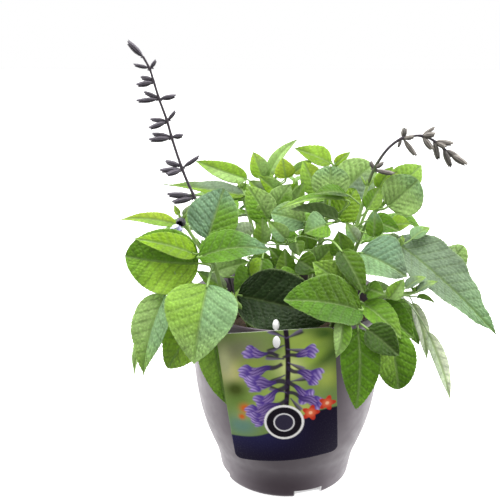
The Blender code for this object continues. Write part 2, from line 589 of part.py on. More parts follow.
def card_solid(grow=0.0):
    """Points and faces of the card: a grid with rounded corners, alike on both faces."""
    ends = [CARD_HEIGHT / 2 - CARD_CORNER * share for share in (0.0, 0.3, 1.0)]
    heights = [-v for v in ends] + [-22.0, 0.0, 22.0] + ends[::-1]
    rows = len(heights) - 1
    points, faces = [], []
    for layer in (-grow, CARD_THICKNESS + grow):
        for v in heights:
            near_end = max(0.0, abs(v) - (CARD_HEIGHT / 2 - CARD_CORNER))
            cut = CARD_CORNER - math.sqrt(max(0.0, CARD_CORNER ** 2 - near_end ** 2))
            for i in range(CARD_COLUMNS + 1):
                u = (i / CARD_COLUMNS - 0.5) * (CARD_WIDTH - 2 * cut)
                points.append(card_place(u, v, layer))
    wide = CARD_COLUMNS + 1
    second = wide * (rows + 1)
    for j in range(rows):
        for i in range(CARD_COLUMNS):
            a = j * wide + i
            b, c, d = a + 1, a + wide + 1, a + wide
            faces += [(a, b, c), (a, c, d)]
            faces += [(a + second, c + second, b + second), (a + second, d + second, c + second)]
    rim = list(range(wide))
    rim += [j * wide + CARD_COLUMNS for j in range(1, rows + 1)]
    rim += [rows * wide + i for i in range(CARD_COLUMNS - 1, -1, -1)]
    rim += [j * wide for j in range(rows - 1, 0, -1)]
    for p, q in zip(rim, rim[1:] + rim[:1]):
        faces += [(q, p, p + second), (q, p + second, q + second)]
    return points, faces


def ball(centre, radii):
    """A small rounded lobe."""
    rings = [(math.cos(a), math.sin(a)) for a in (-1.25, -0.75, -0.25, 0.25, 0.75, 1.25)]
    points, faces = turned(rings, 8)
    size = Vector(radii)
    return [Vector(centre) + Vector((p.x * size.x, p.y * size.y, p.z * size.z)) for p in points], faces


def pin_solids():
    """The pin: a knob over the rim, a strap behind the card and a lobe in front of it."""
    hole = card_place(PIN_HOLE[0], PIN_HOLE[1], 0)
    back = hole + Vector((0, CARD_THICKNESS + GAP + STRAP_RADIUS, 0))
    front = hole + Vector((0, -1.8, -1.5))
    rim = Vector((hole.x - 0.6, -75.6, POT_HEIGHT + 4.3))
    strap_foot = Vector((back.x, back.y, back.z - 1.5))
    strap_top = Vector((rim.x, back.y, rim.z))
    return [ball(front, (2.1, 1.4, 3.6)),
            tube([front, back + Vector((0, 0.3, 0))], [1.6, 1.6], 8),
            tube([strap_foot, strap_top], [STRAP_RADIUS, STRAP_RADIUS], 6),
            ball(rim, (2.2, 3.3, 3.7))]


def make_mesh(name, solid):
    """A mesh in metres from points in millimetres, with triangles kept as they are."""
    points, faces = solid
    mesh = bpy.data.meshes.new(name)
    mesh.from_pydata([tuple(p * MM) for p in points], [], [tuple(f) for f in faces])
    mesh.update()
    return mesh


def make_object(name, mesh, material):
    item = bpy.data.objects.new(name, mesh)
    bpy.context.scene.collection.objects.link(item)
    mesh.materials.clear()
    mesh.materials.append(material)
    return item


def make_material(name, colour, roughness):
    material = bpy.data.materials.new(name)
    material.use_nodes = True
    shader = material.node_tree.nodes["Principled BSDF"]
    shader.inputs["Base Color"].default_value = (*colour, 1.0)
    shader.inputs["Roughness"].default_value = roughness
    shader.inputs["Metallic"].default_value = 0.0
    return material


def keep_main_body(mesh):
    """Drop the loose scraps and sealed hollows that a union can leave inside a body."""
    work = bmesh.new()
    work.from_mesh(mesh)
    work.verts.ensure_lookup_table()
    unseen = set(work.verts)
    bodies = []
    while unseen:
        start = unseen.pop()
        body, border = {start}, [start]
        while border:
            point = border.pop()
            for edge in point.link_edges:
                other = edge.other_vert(point)
                if other in unseen:
                    unseen.discard(other)
                    body.add(other)
                    border.append(other)
        bodies.append(body)
    bodies.sort(key=len)
    scraps = [point for body in bodies[:-1] for point in body]
    bmesh.ops.delete(work, geom=scraps, context="VERTS")
    bmesh.ops.triangulate(work, faces=work.faces)
    work.to_mesh(mesh)
    work.free()


def fused(name, solids, material):
    """One closed body from closed solids that cross each other, joined by one union."""
    pieces = [make_object(f"{name}_{k}", make_mesh(name, s), material) for k, s in enumerate(solids)]
    rest = bpy.data.collections.new(f"{name}_rest")
    bpy.context.scene.collection.children.link(rest)
    for piece in pieces[1:]:
        rest.objects.link(piece)
    union = pieces[0].modifiers.new("union", "BOOLEAN")
    union.operation = "UNION"
    union.operand_type = "COLLECTION"
    union.collection = rest
    union.solver = "MANIFOLD"
    shape = bpy.context.evaluated_depsgraph_get()
    mesh = bpy.data.meshes.new_from_object(pieces[0].evaluated_get(shape))
    for piece in pieces:
        bpy.data.objects.remove(piece)
    bpy.data.collections.remove(rest)
    keep_main_body(mesh)
    mesh.name = name
    return make_object(name, mesh, material)


def cut(item, solids):
    """Cut closed solids out of an object and apply the cuts."""
    material = item.data.materials[0]
    for number, solid in enumerate(solids):
        cutter = make_object(f"cutter_{number}", make_mesh("cutter", solid), material)
        hole = item.modifiers.new("cut", "BOOLEAN")
        hole.operation = "DIFFERENCE"
        hole.object = cutter
        hole.solver = "EXACT"
        shape = bpy.context.evaluated_depsgraph_get()
        mesh = bpy.data.meshes.new_from_object(item.evaluated_get(shape))
        item.modifiers.clear()
        item.data = mesh
        bpy.data.objects.remove(cutter)
    item.data.materials.clear()
    item.data.materials.append(material)


def box(centre, size, turn=0.0):
    """Points and faces of a box turned about Z."""
    points = []
    for z in (-0.5, 0.5):
        for x, y in ((-0.5, -0.5), (0.5, -0.5), (0.5, 0.5), (-0.5, 0.5)):
            across, ahead = x * size[0], y * size[1]
            turned_x = across * math.cos(turn) - ahead * math.sin(turn)
            turned_y = across * math.sin(turn) + ahead * math.cos(turn)
            points.append(Vector(centre) + Vector((turned_x, turned_y, z * size[2])))
    faces = [(3, 2, 1, 0), (4, 5, 6, 7)]
    faces += [(k, (k + 1) % 4, (k + 1) % 4 + 4, k + 4) for k in range(4)]
    return points, faces


def notch_boxes():
    """The drain notches in the edge of the foot, at angles from the front."""
    boxes = []
    for angle in NOTCH_ANGLES:
        turn = math.radians(angle)
        centre = Vector((math.sin(turn), -math.cos(turn), 0)) * (FOOT_RADIUS + 1)
        boxes.append(box(centre, NOTCH_SIZE, turn))
    return boxes


def root_hole(stem, radius):
    """A cutter round the sunk end of a stem."""
    foot, above = Vector(stem[0]), Vector(stem[1])
    along = (above - foot).normalized()
    low = foot - along * GAP
    high = foot + along * ROOT_HOLE_DEPTH
    return tube([low, high], [radius + GAP + ROOT_HOLE_EXTRA] * 2, ROOT_HOLE_SIDES)


def make_pot(material):
    pot = make_object("pot", make_mesh("pot", turned(pot_rings())), material)
    cut(pot, notch_boxes())
    pot.data.shade_smooth()
    pot.data.set_sharp_from_angle(angle=math.radians(35))
    return pot


def make_soil(material, shoots):
    soil = make_object("soil", make_mesh("soil", turned(soil_rings())), material)
    holes = [root_hole(shoot.stem, STEM_RADIUS) for shoot in shoots.values()]
    holes.append(root_hole(LEFT_SPIKE_STEM, SPIKE_RADIUS))
    cut(soil, holes)
    return soil


def make_card(material):
    card = make_object("card", make_mesh("card", card_solid()), material)
    middle = card_place(PIN_HOLE[0], PIN_HOLE[1], 0)
    reach = Vector((0, PIN_HOLE_REACH, 0))
    cut(card, [tube([middle - reach, middle + reach], [PIN_HOLE_RADIUS] * 2, PIN_HOLE_SIDES)])


def make_shoots(material, shoots, leaves):
    for name, shoot in shoots.items():
        route = smooth_route(shoot.stem, 4)
        solids = [stem_tube(shoot.stem)]
        for leaf in leaves[name]:
            solids.append(whole_leaf(leaf, route))
        fused(name, solids, material)


def spike_solids(stem, calyces, grow=0.0):
    return [spike_stem(stem, grow)] + [calyx(foot, tip, radius, grow) for foot, tip, radius in calyces]


def obstacles():
    """What the leaves keep clear of: the pot, the card, the pin, the spikes and the old flower."""
    solids = [turned(pot_rings()), card_solid(CLEARANCE)] + pin_solids()
    solids += spike_solids(LEFT_SPIKE_STEM, LEFT_CALYCES, CLEARANCE)
    solids += spike_solids(RIGHT_SPIKE_STEM, RIGHT_CALYCES, CLEARANCE)
    solids += [old_flower_calyx(CLEARANCE), old_flower_petals(CLEARANCE)]
    return [tree(solid) for solid in solids]


def main():
    for item in list(bpy.data.objects):
        bpy.data.objects.remove(item)
    plastic = make_material("pot_plastic", (0.24, 0.21, 0.22), 0.5)
    earth = make_material("soil", (0.03, 0.022, 0.016), 0.95)
    green = make_material("leaf_green", (0.16, 0.33, 0.05), 0.6)
    dark = make_material("flower_dark", (0.035, 0.022, 0.035), 0.7)
    pale = make_material("petal_pale", (0.62, 0.6, 0.85), 0.6)
    print_green = make_material("card_print", (0.2, 0.3, 0.12), 0.4)
    white = make_material("pin_white", (0.85, 0.85, 0.85), 0.4)

    shoots = all_shoots()
    leaves = settled(shoots, obstacles())
    make_pot(plastic)
    make_soil(earth, shoots)
    make_shoots(green, shoots, leaves)
    fused("flower_spike_left", spike_solids(LEFT_SPIKE_STEM, LEFT_CALYCES), dark)
    fused("flower_spike_right", spike_solids(RIGHT_SPIKE_STEM, RIGHT_CALYCES), dark)
    make_object("old_flower_calyx", make_mesh("old_flower_calyx", old_flower_calyx()), dark)
    make_object("old_flower_petals", make_mesh("old_flower_petals", old_flower_petals()), pale)
    make_card(print_green)
    fused("card_pin", pin_solids(), white)


if __name__ == "__main__":
    main()
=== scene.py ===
"""Looks of a potted salvia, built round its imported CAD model.

Every leafy shoot, spike, flower, card and pot is made again in fine detail where its CAD node is.
Measures are in millimetres; X runs to the right and Y away from the camera. The leaves' rows are
the CAD source's own, and each fine leaf is laid where the frame has its plain solid.
"""
import math
import random
from collections import namedtuple

import bpy
import numpy as np
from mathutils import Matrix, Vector


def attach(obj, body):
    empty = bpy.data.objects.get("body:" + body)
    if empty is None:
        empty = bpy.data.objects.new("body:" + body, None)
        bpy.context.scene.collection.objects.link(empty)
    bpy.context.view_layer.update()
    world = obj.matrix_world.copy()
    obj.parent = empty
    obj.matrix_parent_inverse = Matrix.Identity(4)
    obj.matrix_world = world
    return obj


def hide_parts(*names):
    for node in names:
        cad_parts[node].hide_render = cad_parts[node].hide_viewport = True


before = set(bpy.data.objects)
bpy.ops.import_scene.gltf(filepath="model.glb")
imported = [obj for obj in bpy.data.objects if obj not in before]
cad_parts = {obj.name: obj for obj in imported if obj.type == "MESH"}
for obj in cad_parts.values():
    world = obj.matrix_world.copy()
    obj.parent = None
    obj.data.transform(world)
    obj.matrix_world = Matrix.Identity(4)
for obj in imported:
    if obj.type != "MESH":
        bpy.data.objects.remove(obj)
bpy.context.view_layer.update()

MM = 0.001
SEED = 7

POT_HEIGHT = 145.5
POT_RIM_RADIUS = 77.0
POT_WALL = 1.8
FOOT_RADIUS = 51.2
FLOOR_THICKNESS = 5.0
NOTCH_ANGLES = (21, -69, 111, 201)
NOTCH_SIZE = (21.0, 12.0, 11.0)
SOIL_TOP = 129.0
GAP = 0.3

CARD_WIDTH = 78.0
CARD_HEIGHT = 104.0
CARD_THICKNESS = 0.8
CARD_CORNER = 5.0
CARD_TURN = math.radians(5.0)
CARD_MIDDLE = Vector((-3.0, -79.9, 95.5))
CARD_LEAN = 0.16
CARD_BOW = 0.007
CARD_TAPER = 0.08
PIN_HOLE = (0.5, 46.0)
PIN_HOLE_RADIUS = 1.9
STRAP_RADIUS = 0.75

STEM_RADIUS = 2.0
STEM_TIP_RADIUS = 1.1
PETIOLE_RADIUS = 1.0
# Half thicknesses of a plain leaf's solid at its foot and at its tip.
SOLID_FOOT = 0.7
SOLID_TIP = 0.35
# A leaf is on its solid if the corners of its foot and tip are this near to the solid's own.
FOUND_WITHIN = 0.5
LEAF_ASPECT = 0.62
FOLD = math.radians(16.0)

UP = (0.0, -0.3, 1.0)
FRONT = (0.0, -1.0, 0.45)
INNER_FRONT = -30
INNER_SIDE = 88
INNER_TOP = 214
INNER_FACE = (0.0, -0.6, 0.8)
INNER_SHARE = 0.7
INNER_STALK = (9, 5)
INNER_LENGTHS = (24, 36)
INNER_LEAF_SHOOTS = ("shoot_middle_left", "shoot_middle_right", "shoot_right_flower")

# The last field names the tones of a leaf's left half, right half and tip; the tones blue, mint and grey
# are painted sheen, and shade and night are painted shade. Left is the left of someone who stands on the
# leaf's foot and looks to its tip.
PLAIN_LOOK = ("mid", "mid", "mid")

Leaf = namedtuple("Leaf", "joint base tip width faces arch sway point look",
                  defaults=(FRONT, 0.08, 0.0, 0.95, PLAIN_LOOK))
Shoot = namedtuple("Shoot", "stem leaves")

# The outer side of the pot, from the underside's edge up to the rim: radius and height.
POT_SIDE = ((50.0, 0.0), (51.2, 1.6), (52.3, 7.0), (53.8, 15.0), (55.9, 22.5), (59.5, 31.5),
            (64.6, 45.5), (68.6, 61.5), (71.6, 82.0), (73.8, 110.0), (75.0, 138.5),
            (76.6, 140.0), (POT_RIM_RADIUS, 143.5), (76.2, POT_HEIGHT))


def array(vectors):
    return np.array([tuple(v) for v in vectors], float)


def smooth_route(points, steps):
    """A smooth curve through the points, with a number of steps between each two of them."""
    ends = [points[0]] + list(points) + [points[-1]]
    route = []
    for index in range(1, len(ends) - 2):
        p0, p1, p2, p3 = (Vector(p) for p in ends[index - 1:index + 3])
        for step in range(steps):
            t = step / steps
            route.append(0.5 * (2 * p1 + (p2 - p0) * t + (2 * p0 - 5 * p1 + 4 * p2 - p3) * t ** 2
                                + (3 * p1 - p0 - 3 * p2 + p3) * t ** 3))
    route.append(Vector(points[-1]))
    return route


def at_height(route, height):
    """The point of an upright route at a height, or its nearest end."""
    for low, high in zip(route, route[1:]):
        if low.z <= height <= high.z:
            return low.lerp(high, (height - low.z) / max(high.z - low.z, 1e-6))
    return route[-1].copy() if height > route[-1].z else route[0].copy()


def leaf_axes(leaf):
    """Unit vectors along a blade, across it and out of its upper face, and its length."""
    chord = Vector(leaf.tip) - Vector(leaf.base)
    along = chord.normalized()
    normal = Vector(leaf.faces)
    normal = (normal - along * normal.dot(along)).normalized()
    return along, normal.cross(along), normal, chord.length


def spine(leaf, t):
    """The point of the midrib at a share t of the blade's length."""
    along, side, normal, length = leaf_axes(leaf)
    bend = length * 4 * t * (1 - t)
    return Vector(leaf.base) + along * (length * t) + normal * (leaf.arch * bend) + side * (leaf.sway * bend)


def outline(t, point):
    """Share of the full half width at a share t of the length, more pointed for a higher point."""
    widest = 0.5 / (0.5 + point)
    return (t / widest) ** 0.5 * ((1 - t) / (1 - widest)) ** point


def moved(leaf, base_shift, tip_shift):
    """The leaf with its base and tip moved nearer or farther and up or down."""
    base = Vector(leaf.base) + Vector(base_shift)
    tip = Vector(leaf.tip) + Vector(tip_shift)
    return leaf._replace(base=tuple(base), tip=tuple(tip))


def trial_moves():
    """Small moves in the order they are tried, smallest first."""
    moves = [((0, 0, 0), (0, 0, 0))]
    for step in (3, 6, 9, 12, 16, 20):
        for sign in (-1, 1):
            d = sign * step
            moves.append(((0, 0, 0), (0, d, 0)))
            moves.append(((0, d, 0), (0, d, 0)))
            moves.append(((0, d / 2, 0), (0, d, d / 3)))
            moves.append(((0, d / 2, 0), (0, d, -d / 3)))
            moves.append(((0, d, 0), (0, 0, 0)))
    return moves


def settled(name, shoot):
    """The shoot with each leaf moved to where its solid is.

    The CAD source tried the same small moves until the leaf was clear of everything else. A leaf
    for which no move fits the solid was left off there, and is left off here too.
    """
    corners = array(vertex.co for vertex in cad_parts[name].data.vertices) / MM

    def miss(leaf):
        """The farthest that a corner of the leaf's foot or tip is from the solid's nearest."""
        normal = leaf_axes(leaf)[2]
        marks = [Vector(place) + normal * (sign * half)
                 for place, half in ((leaf.base, SOLID_FOOT), (leaf.tip, SOLID_TIP)) for sign in (-1, 1)]
        return max(np.linalg.norm(corners - mark, axis=1).min() for mark in array(marks))

    leaves = []
    for leaf in shoot.leaves:
        nearest = min((moved(leaf, *shifts) for shifts in trial_moves()), key=miss)
        if miss(nearest) < FOUND_WITHIN:
            leaves.append(nearest)
    return Shoot(shoot.stem, leaves)


def hand_set(stem, *rows):
    """A shoot from rows that give each leaf's look in words and then its other fields."""
    return Shoot(stem, [Leaf(*fields)._replace(look=look.split()) for look, *fields in rows])


SHOOTS = {
    "shoot_left_front": hand_set(
        ((-36, -30, 117), (-45, -38, 150), (-51, -41, 178), (-60, -40, 195)),
        ("mint fresh pale", 182, (-55, -60, 173), (-62, -90, 126), 52, FRONT, 0.14),
        ("moss lime lime", 190, (-65, -44, 190), (-105, -60, 205), 21, (-0.2, -0.7, 0.75), 0.06),
        ("grass grass blue", 190, (-62, -46, 189), (-12, -34, 191.5), 31, (0.1, -0.55, 0.8), 0.08, 0.05),
        ("blue mid blue", 194, (-58, -35, 197), (-47, -18, 231), 40, (-0.1, -1.0, 0.3), 0.03, 0.0, 0.8),
        ("bright mid mid", 180, (-64, -46, 181), (-114.5, -58, 189.5), 49,
         (-0.2, -0.9, 0.35), 0.08, 0.03, 0.6),
        ("fresh white mid", 160, (-45, -30, 160), (-66, -32, 174), 12)),
    "shoot_left_low": hand_set(
        ((-48, -22, 117), (-57, -33, 148), (-68, -42, 166), (-76, -47, 172)),
        ("mint pale fresh", 170, (-86, -56, 164), (-102, -64, 104.5), 31, (-0.4, -0.9, 0.2), 0.1, 0.0, 1.15),
        ("pale pale pale", 168, (-88, -42, 154), (-114, -40, 92), 18, (-0.6, -0.8, 0.3), 0.1, 0.0, 1.2),
        ("bright bright fresh", 166, (-62, -54, 146), (-85, -58, 108), 32, FRONT, 0.06, 0.0, 0.8)),
    "shoot_front_right": hand_set(
        ((28, -36, 117), (37, -44, 150), (45, -48, 160)),
        ("deep olive grass", 158, (52, -58, 155), (-2, -76, 168), 40, (0, -0.65, 0.75), 0.08, 0.0, 0.75),
        ("mid fresh fresh", 160, (44, -44, 166), (18, -40, 184), 28),
        ("grass grass mid", 152, (49, -69, 146), (49, -78, 89), 29, FRONT, 0.1, 0.03, 0.95),
        ("mid pale pale", 154, (38, -82, 155), (34, -90, 129), 14, (0.3, -1, 0.4), 0.16),
        ("mid mid fresh", 159, (54, -52, 156), (80, -68, 136), 24, (0.2, -0.6, 0.75)),
        ("dark dark dark", 150, (55, -60, 147), (77, -66, 130), 23, (0.1, -0.85, 0.5))),
    "shoot_front_left": hand_set(
        ((-22, -42, 117), (-30, -50, 148), (-38, -56, 161)),
        # A big leaf deep in shade behind the top of the card: its night and shade tones are painted shade.
        ("night night shade", 156, (-35, -53, 160), (32, -66, 149), 48, (0, -0.85, 0.5), 0.05, 0.0, 0.75),
        ("mid fresh mid", 150, (-53, -69, 145), (-42, -75, 86), 27, FRONT, 0.08)),
    "shoot_right_mid": hand_set(
        ((42, -12, 117), (50, -18, 150), (57, -20, 176), (68, -16, 187), (84, -12, 190)),
        ("blue mint grey", 178, (53, -24, 187), (85, -40, 174), 42, (0.2, -0.7, 0.7)),
        ("grey grey mint", 188, (80, -16, 190), (150, -59, 133), 48, (0.4, -0.7, 0.6), 0.08, -0.03, 1.1),
        ("mint mint lime", 188, (92, -6, 194), (106, -3, 201), 14, UP),
        ("white pale pale", 188, (114, 8, 156), (134, 6, 185), 24, FRONT, 0.08, 0.0, 0.5)),
    "shoot_left_old": hand_set(
        ((-40, -2, 117), (-55, 5, 158), (-76, 13, 191), (-82, 15, 199.3)),
        ("fresh sun sun", 195, (-87, 15, 197), (-132, 15, 200), 13, (0.0, -0.7, 0.7), 0.06, -0.03, 1.2),
        ("sun sun sun", 196, (-85.5, 15, 203), (-89, 15, 211), 5),
        ("white pale sun", 196, (-82, 19, 203), (-72, 18, 213), 6)),
    "shoot_middle_left": hand_set(
        ((-14, 2, 117), (-18, 7, 165), (-24, 11, 200), (-23, 13, 208)),
        ("mid pale fresh", 203, (-14, 13, 201), (-32, 18, 228), 25),
        ("pale mid pale", 205, (-10, 22, 210), (2, 24, 228), 20),
        ("mint pale mint", 192, (13, 6, 202), (-13, 8, 208), 26, (0, -0.8, 0.6), 0.08, 0.0, 0.7),
        ("grass lime lime", 176, (-18, -28, 183), (-21, -46, 165), 18),
        ("olive olive deep", 172, (-28, -12, 177), (-7, -24, 167), 22, (0.2, -0.9, 0.3)),
        ("mid mid mid", 160, (-24, -28, 168), (-38, -48, 158), 24),
        ("mint white mint", 184, (-28, 2, 190), (-46, -6, 199), 22),
        ("mint pale fresh", 184, (-1, -4, 192), (-15, -8, 207), 14),
        ("olive mid mid", 176, (-1, -14, 173), (-14, -18, 190), 14),
        ("fresh pale grass", 176, (-19, -1, 187), (-19, 0, 207), 14),
        ("pale pale mid", 158, (-54, -18, 168), (-28, -20, 177), 17, (0.1, -0.8, 0.6))),
    "shoot_middle_right": hand_set(
        ((18, -2, 117), (22, 5, 165), (28, 11, 198), (30, 12, 205)),
        ("pale pale mint", 204, (32, 14, 219), (32, 19, 243), 31, FRONT, 0.03, 0.0, 0.5),
        ("olive shade dark", 200, (37, 4, 207), (2, 0, 215), 26, (0, 0.55, 0.85), 0.05),
        ("mid mint mid", 200, (29, -12, 205), (12, -20, 200), 24, (0, -0.8, 0.6)),
        ("bright bright bright", 198, (38, 14, 200), (52, 22, 224), 30, FRONT, 0.08, 0.0, 0.8),
        ("olive dark olive", 180, (8, -28, 182), (22, -34, 175), 20),
        ("olive dark olive", 184, (38, -20, 192), (54, -40, 166), 20, (0.2, -0.9, 0.4)),
        ("olive dark olive", 186, (6, -16, 193), (9, -22, 183), 13),
        ("fresh mid mid", 162, (8, -26, 170), (-8, -46, 160), 24),
        ("mid deep deep", 158, (16, -24, 162), (22, -46, 156), 22),
        ("fresh mid fresh", 202, (43, 0, 221), (-8, -6, 213), 10, (0, -0.4, 0.9), 0.08, -0.06),
        ("pale bright fresh", 170, (20, -8, 172), (36, -10, 190), 20),
        ("mint white fresh", 188, (52, -4, 190), (43, -4, 205), 12),
        ("fresh fresh olive", 170, (16, -6, 178), (14, -8, 198), 15),
        ("fresh mid olive", 150, (0, -12, 164), (-2, -14, 190), 17)),
    "shoot_right_flower": hand_set(
        ((34, 4, 117), (44, 8, 165), (53, 10, 200), (59.5, 10, 230)),
        ("mid fresh fresh", 205, (60, 8, 212), (70, 16, 228), 16),
        ("grass deep grass", 196, (62, 4, 204), (84, -2, 198), 18, (0.2, -0.8, 0.5)),
        ("dark grass olive", 214, (44, 10, 223), (19, 2, 227), 16, (0, -0.55, 0.8)),
        ("mid mid blue", 196, (64, 0, 195), (64, 2, 215), 14),
        ("mid fresh mid", 172, (41, -4, 182), (37, -6, 206), 20)),
    "shoot_right_back": hand_set(
        ((40, 22, 117), (52, 27, 168), (63, 24, 200), (73, 22, 212)),
        ("pale pale mint", 209, (76, 14, 213), (98, 14, 234), 36, (0.1, -1, 0.2), 0.03, 0.0, 0.6),
        ("fresh fresh fresh", 211, (82, 36, 220), (106, 50, 239), 26),
        ("sun sun sun", 210, (72, 26, 218), (84, 30, 238), 16),
        ("bright moss bright", 204, (78, 4, 199), (93, -2, 202), 16, (0.2, -0.7, 0.6)),
        ("bright lime bright", 206, (69, 26, 225), (80, 28, 242), 15)),
    "shoot_right_low": hand_set(
        ((48, -27, 117), (55, -36, 147), (65, -42, 159), (80, -42, 162), (92, -38, 162)),
        ("mid fresh grass", 160, (73, -54, 140), (80.5, -64, 97), 31, FRONT, 0.1, 0.0, 0.6),
        ("grass mid mid", 157, (64, -38, 152), (92, -38, 128), 26, (0.1, -0.9, 0.4)),
        ("silver white silver", 162, (104.5, -30, 128), (121.5, -40, 80), 12, (0.3, -0.9, 0.3)),
        ("silver silver white", 162, (93.5, -22, 148), (106, -22, 104), 12, (0.4, -0.9, 0.3)),
        ("grey grey bright", 161, (84, -38, 167), (98, -36, 175), 11, UP),
        ("grey grey bright", 161, (92, -38, 166), (106, -34, 172), 9, UP),
        ("fresh fresh fresh", 161, (94, -36, 158), (107, -34, 153), 8, UP),
        ("mid grass mid", 158, (58, -44, 166), (68, -52, 165), 15),
        ("fresh pale mid", 160, (73, -44, 160), (82, -44, 175), 13),
        ("pale fresh mid", 159, (82, -28, 149), (100, -32, 114), 18, (0.2, -0.9, 0.4)),
        ("pale mid mid", 146, (57, -22, 157), (78, -26, 156), 13)),
    "shoot_back_left": hand_set(
        ((-16, 26, 117), (-24, 38, 170), (-34, 46, 205), (-38, 50, 219)),
        ("pale bright bright", 214, (-34, 58, 225), (-76, 60, 239), 17, (0.0, -0.9, 0.5), 0.08, 0.03),
        ("moss grey lime", 211, (-36, 46, 214), (-99, 36, 225), 20, (0, -0.5, 0.9), 0.05, 0.04, 1.4),
        ("fresh fresh mid", 212, (-30, 48, 217), (-48, 44, 207), 16),
        ("lime lime lime", 208, (-38, 40, 213), (-70, 34, 210), 17, UP),
        ("bright white lime", 206, (-18, 44, 214), (-31, 42, 227), 16)),
    "shoot_back_middle": hand_set(
        ((-6, 30, 117), (-8, 42, 175), (-12, 52, 210), (-12, 56, 224)),
        ("bright pale sun", 222, (-21, 60, 226), (-29, 62, 247), 17),
        ("pale pale pale", 220, (-17, 60, 223), (7.5, 62, 257), 12, (-0.3, -0.8, 0.4), 0.08, 0.08),
        ("sun sun sun", 220, (-2, 52, 227), (-5, 52, 244), 18),
        ("pale sun sun", 218, (4, 52, 231), (20, 50, 242), 10),
        ("mid fresh lime", 200, (-6, 38, 206), (8, 42, 225), 22),
        ("lime pale lime", 204, (-6, 38, 215), (-24, 36, 232), 15),
        ("pale fresh mid", 196, (2, 28, 202), (12, 28, 229), 15)),
    "shoot_back_right": hand_set(
        ((16, 30, 117), (22, 40, 178), (32, 48, 215), (38, 51, 236)),
        ("moss bright lime", 232, (34, 50, 240), (4.5, 50, 251.5), 20, (0, -0.7, 0.7), 0.08, 0.025),
        ("sun lime lime", 233, (37, 50, 239), (49, 48, 249.5), 8),
        ("pale grey pale", 212, (40, 42, 216), (67, 52, 240), 36, FRONT, 0.05, 0.0, 0.6),
        ("fresh sun bright", 212, (24, 36, 218), (11, 40, 244), 22)),
}

# Shoots behind, which the front view doesn't show: foot and top of each stem.
BACK_SHOOTS = (((-34, 40, 117), (-62, 62, 205)), ((4, 52, 117), (6, 84, 214)),
               ((38, 42, 117), (68, 66, 204)))
# Pairs of leaves on such a shoot: the share of the stem's length they leave at, and their length.
BEHIND_PAIRS = ((0.55, 58), (0.78, 46), (0.96, 26))
# How far the stalk of such a leaf leads out and up.
BEHIND_STALK = (12, 6)


def stalked(joint, angle, stalk, reach, rise, faces):
    """A leaf whose stalk leads out and up from the joint, and whose tip rises by a share of its reach."""
    away = Vector((math.cos(angle), math.sin(angle), 0))
    base = joint + away * stalk[0] + Vector((0, 0, stalk[1]))
    tip = base + away * reach + Vector((0, 0, reach * rise))
    return Leaf(joint.z, tuple(base), tuple(tip), reach * LEAF_ASPECT, faces, 0.1)


def back_shoot(foot, top, chance):
    """A leaning shoot with opposite pairs of leaves, each pair turned from the one below."""
    foot, top = Vector(foot), Vector(top)
    bend = foot.lerp(top, 0.5)
    bend.z += 8
    leaves = []
    outwards = math.atan2(top.y, top.x)
    for pair, (share, length) in enumerate(BEHIND_PAIRS):
        joint = foot.lerp(top, share)
        for half in (0, 1):
            angle = outwards + math.pi * half + (math.pi / 2) * (pair % 2) + chance.uniform(-0.3, 0.3)
            leaves.append(stalked(joint, angle, BEHIND_STALK, length * chance.uniform(0.85, 1.1),
                                  chance.uniform(-0.35, 0.15), (0, 0, 1)))
    return Shoot((tuple(foot), tuple(bend), tuple(top)), leaves)


def inner_leaves(shoot, chance):
    """A pair of lesser leaves low on a shoot, left out where their tips reach too far to the front, the sides
    or the top.
    """
    low, high = Vector(shoot.stem[0]).z, Vector(shoot.stem[-1]).z
    joint = at_height(smooth_route(shoot.stem, ROUGH_STEM_STEPS), low + (high - low) * INNER_SHARE)
    turn = chance.uniform(0, math.pi)
    pair = [stalked(joint, turn + math.pi * half, INNER_STALK, chance.uniform(*INNER_LENGTHS),
                    chance.uniform(-0.2, 0.4), INNER_FACE) for half in (0, 1)]
    return [leaf for leaf in pair
            if leaf.tip[1] > INNER_FRONT and abs(leaf.tip[0]) < INNER_SIDE and leaf.tip[2] < INNER_TOP]


def all_shoots():
    """Every leafy shoot by name: those listed, then the ones behind, then inner leaves."""
    chance = random.Random(SEED)
    shoots = dict(SHOOTS)
    for number, (foot, top) in enumerate(BACK_SHOOTS, 1):
        shoots[f"shoot_behind_{number}"] = back_shoot(foot, top, chance)
    for name in INNER_LEAF_SHOOTS:
        shoot = shoots[name]
        shoots[name] = Shoot(shoot.stem, shoot.leaves + inner_leaves(shoot, chance))
    return shoots


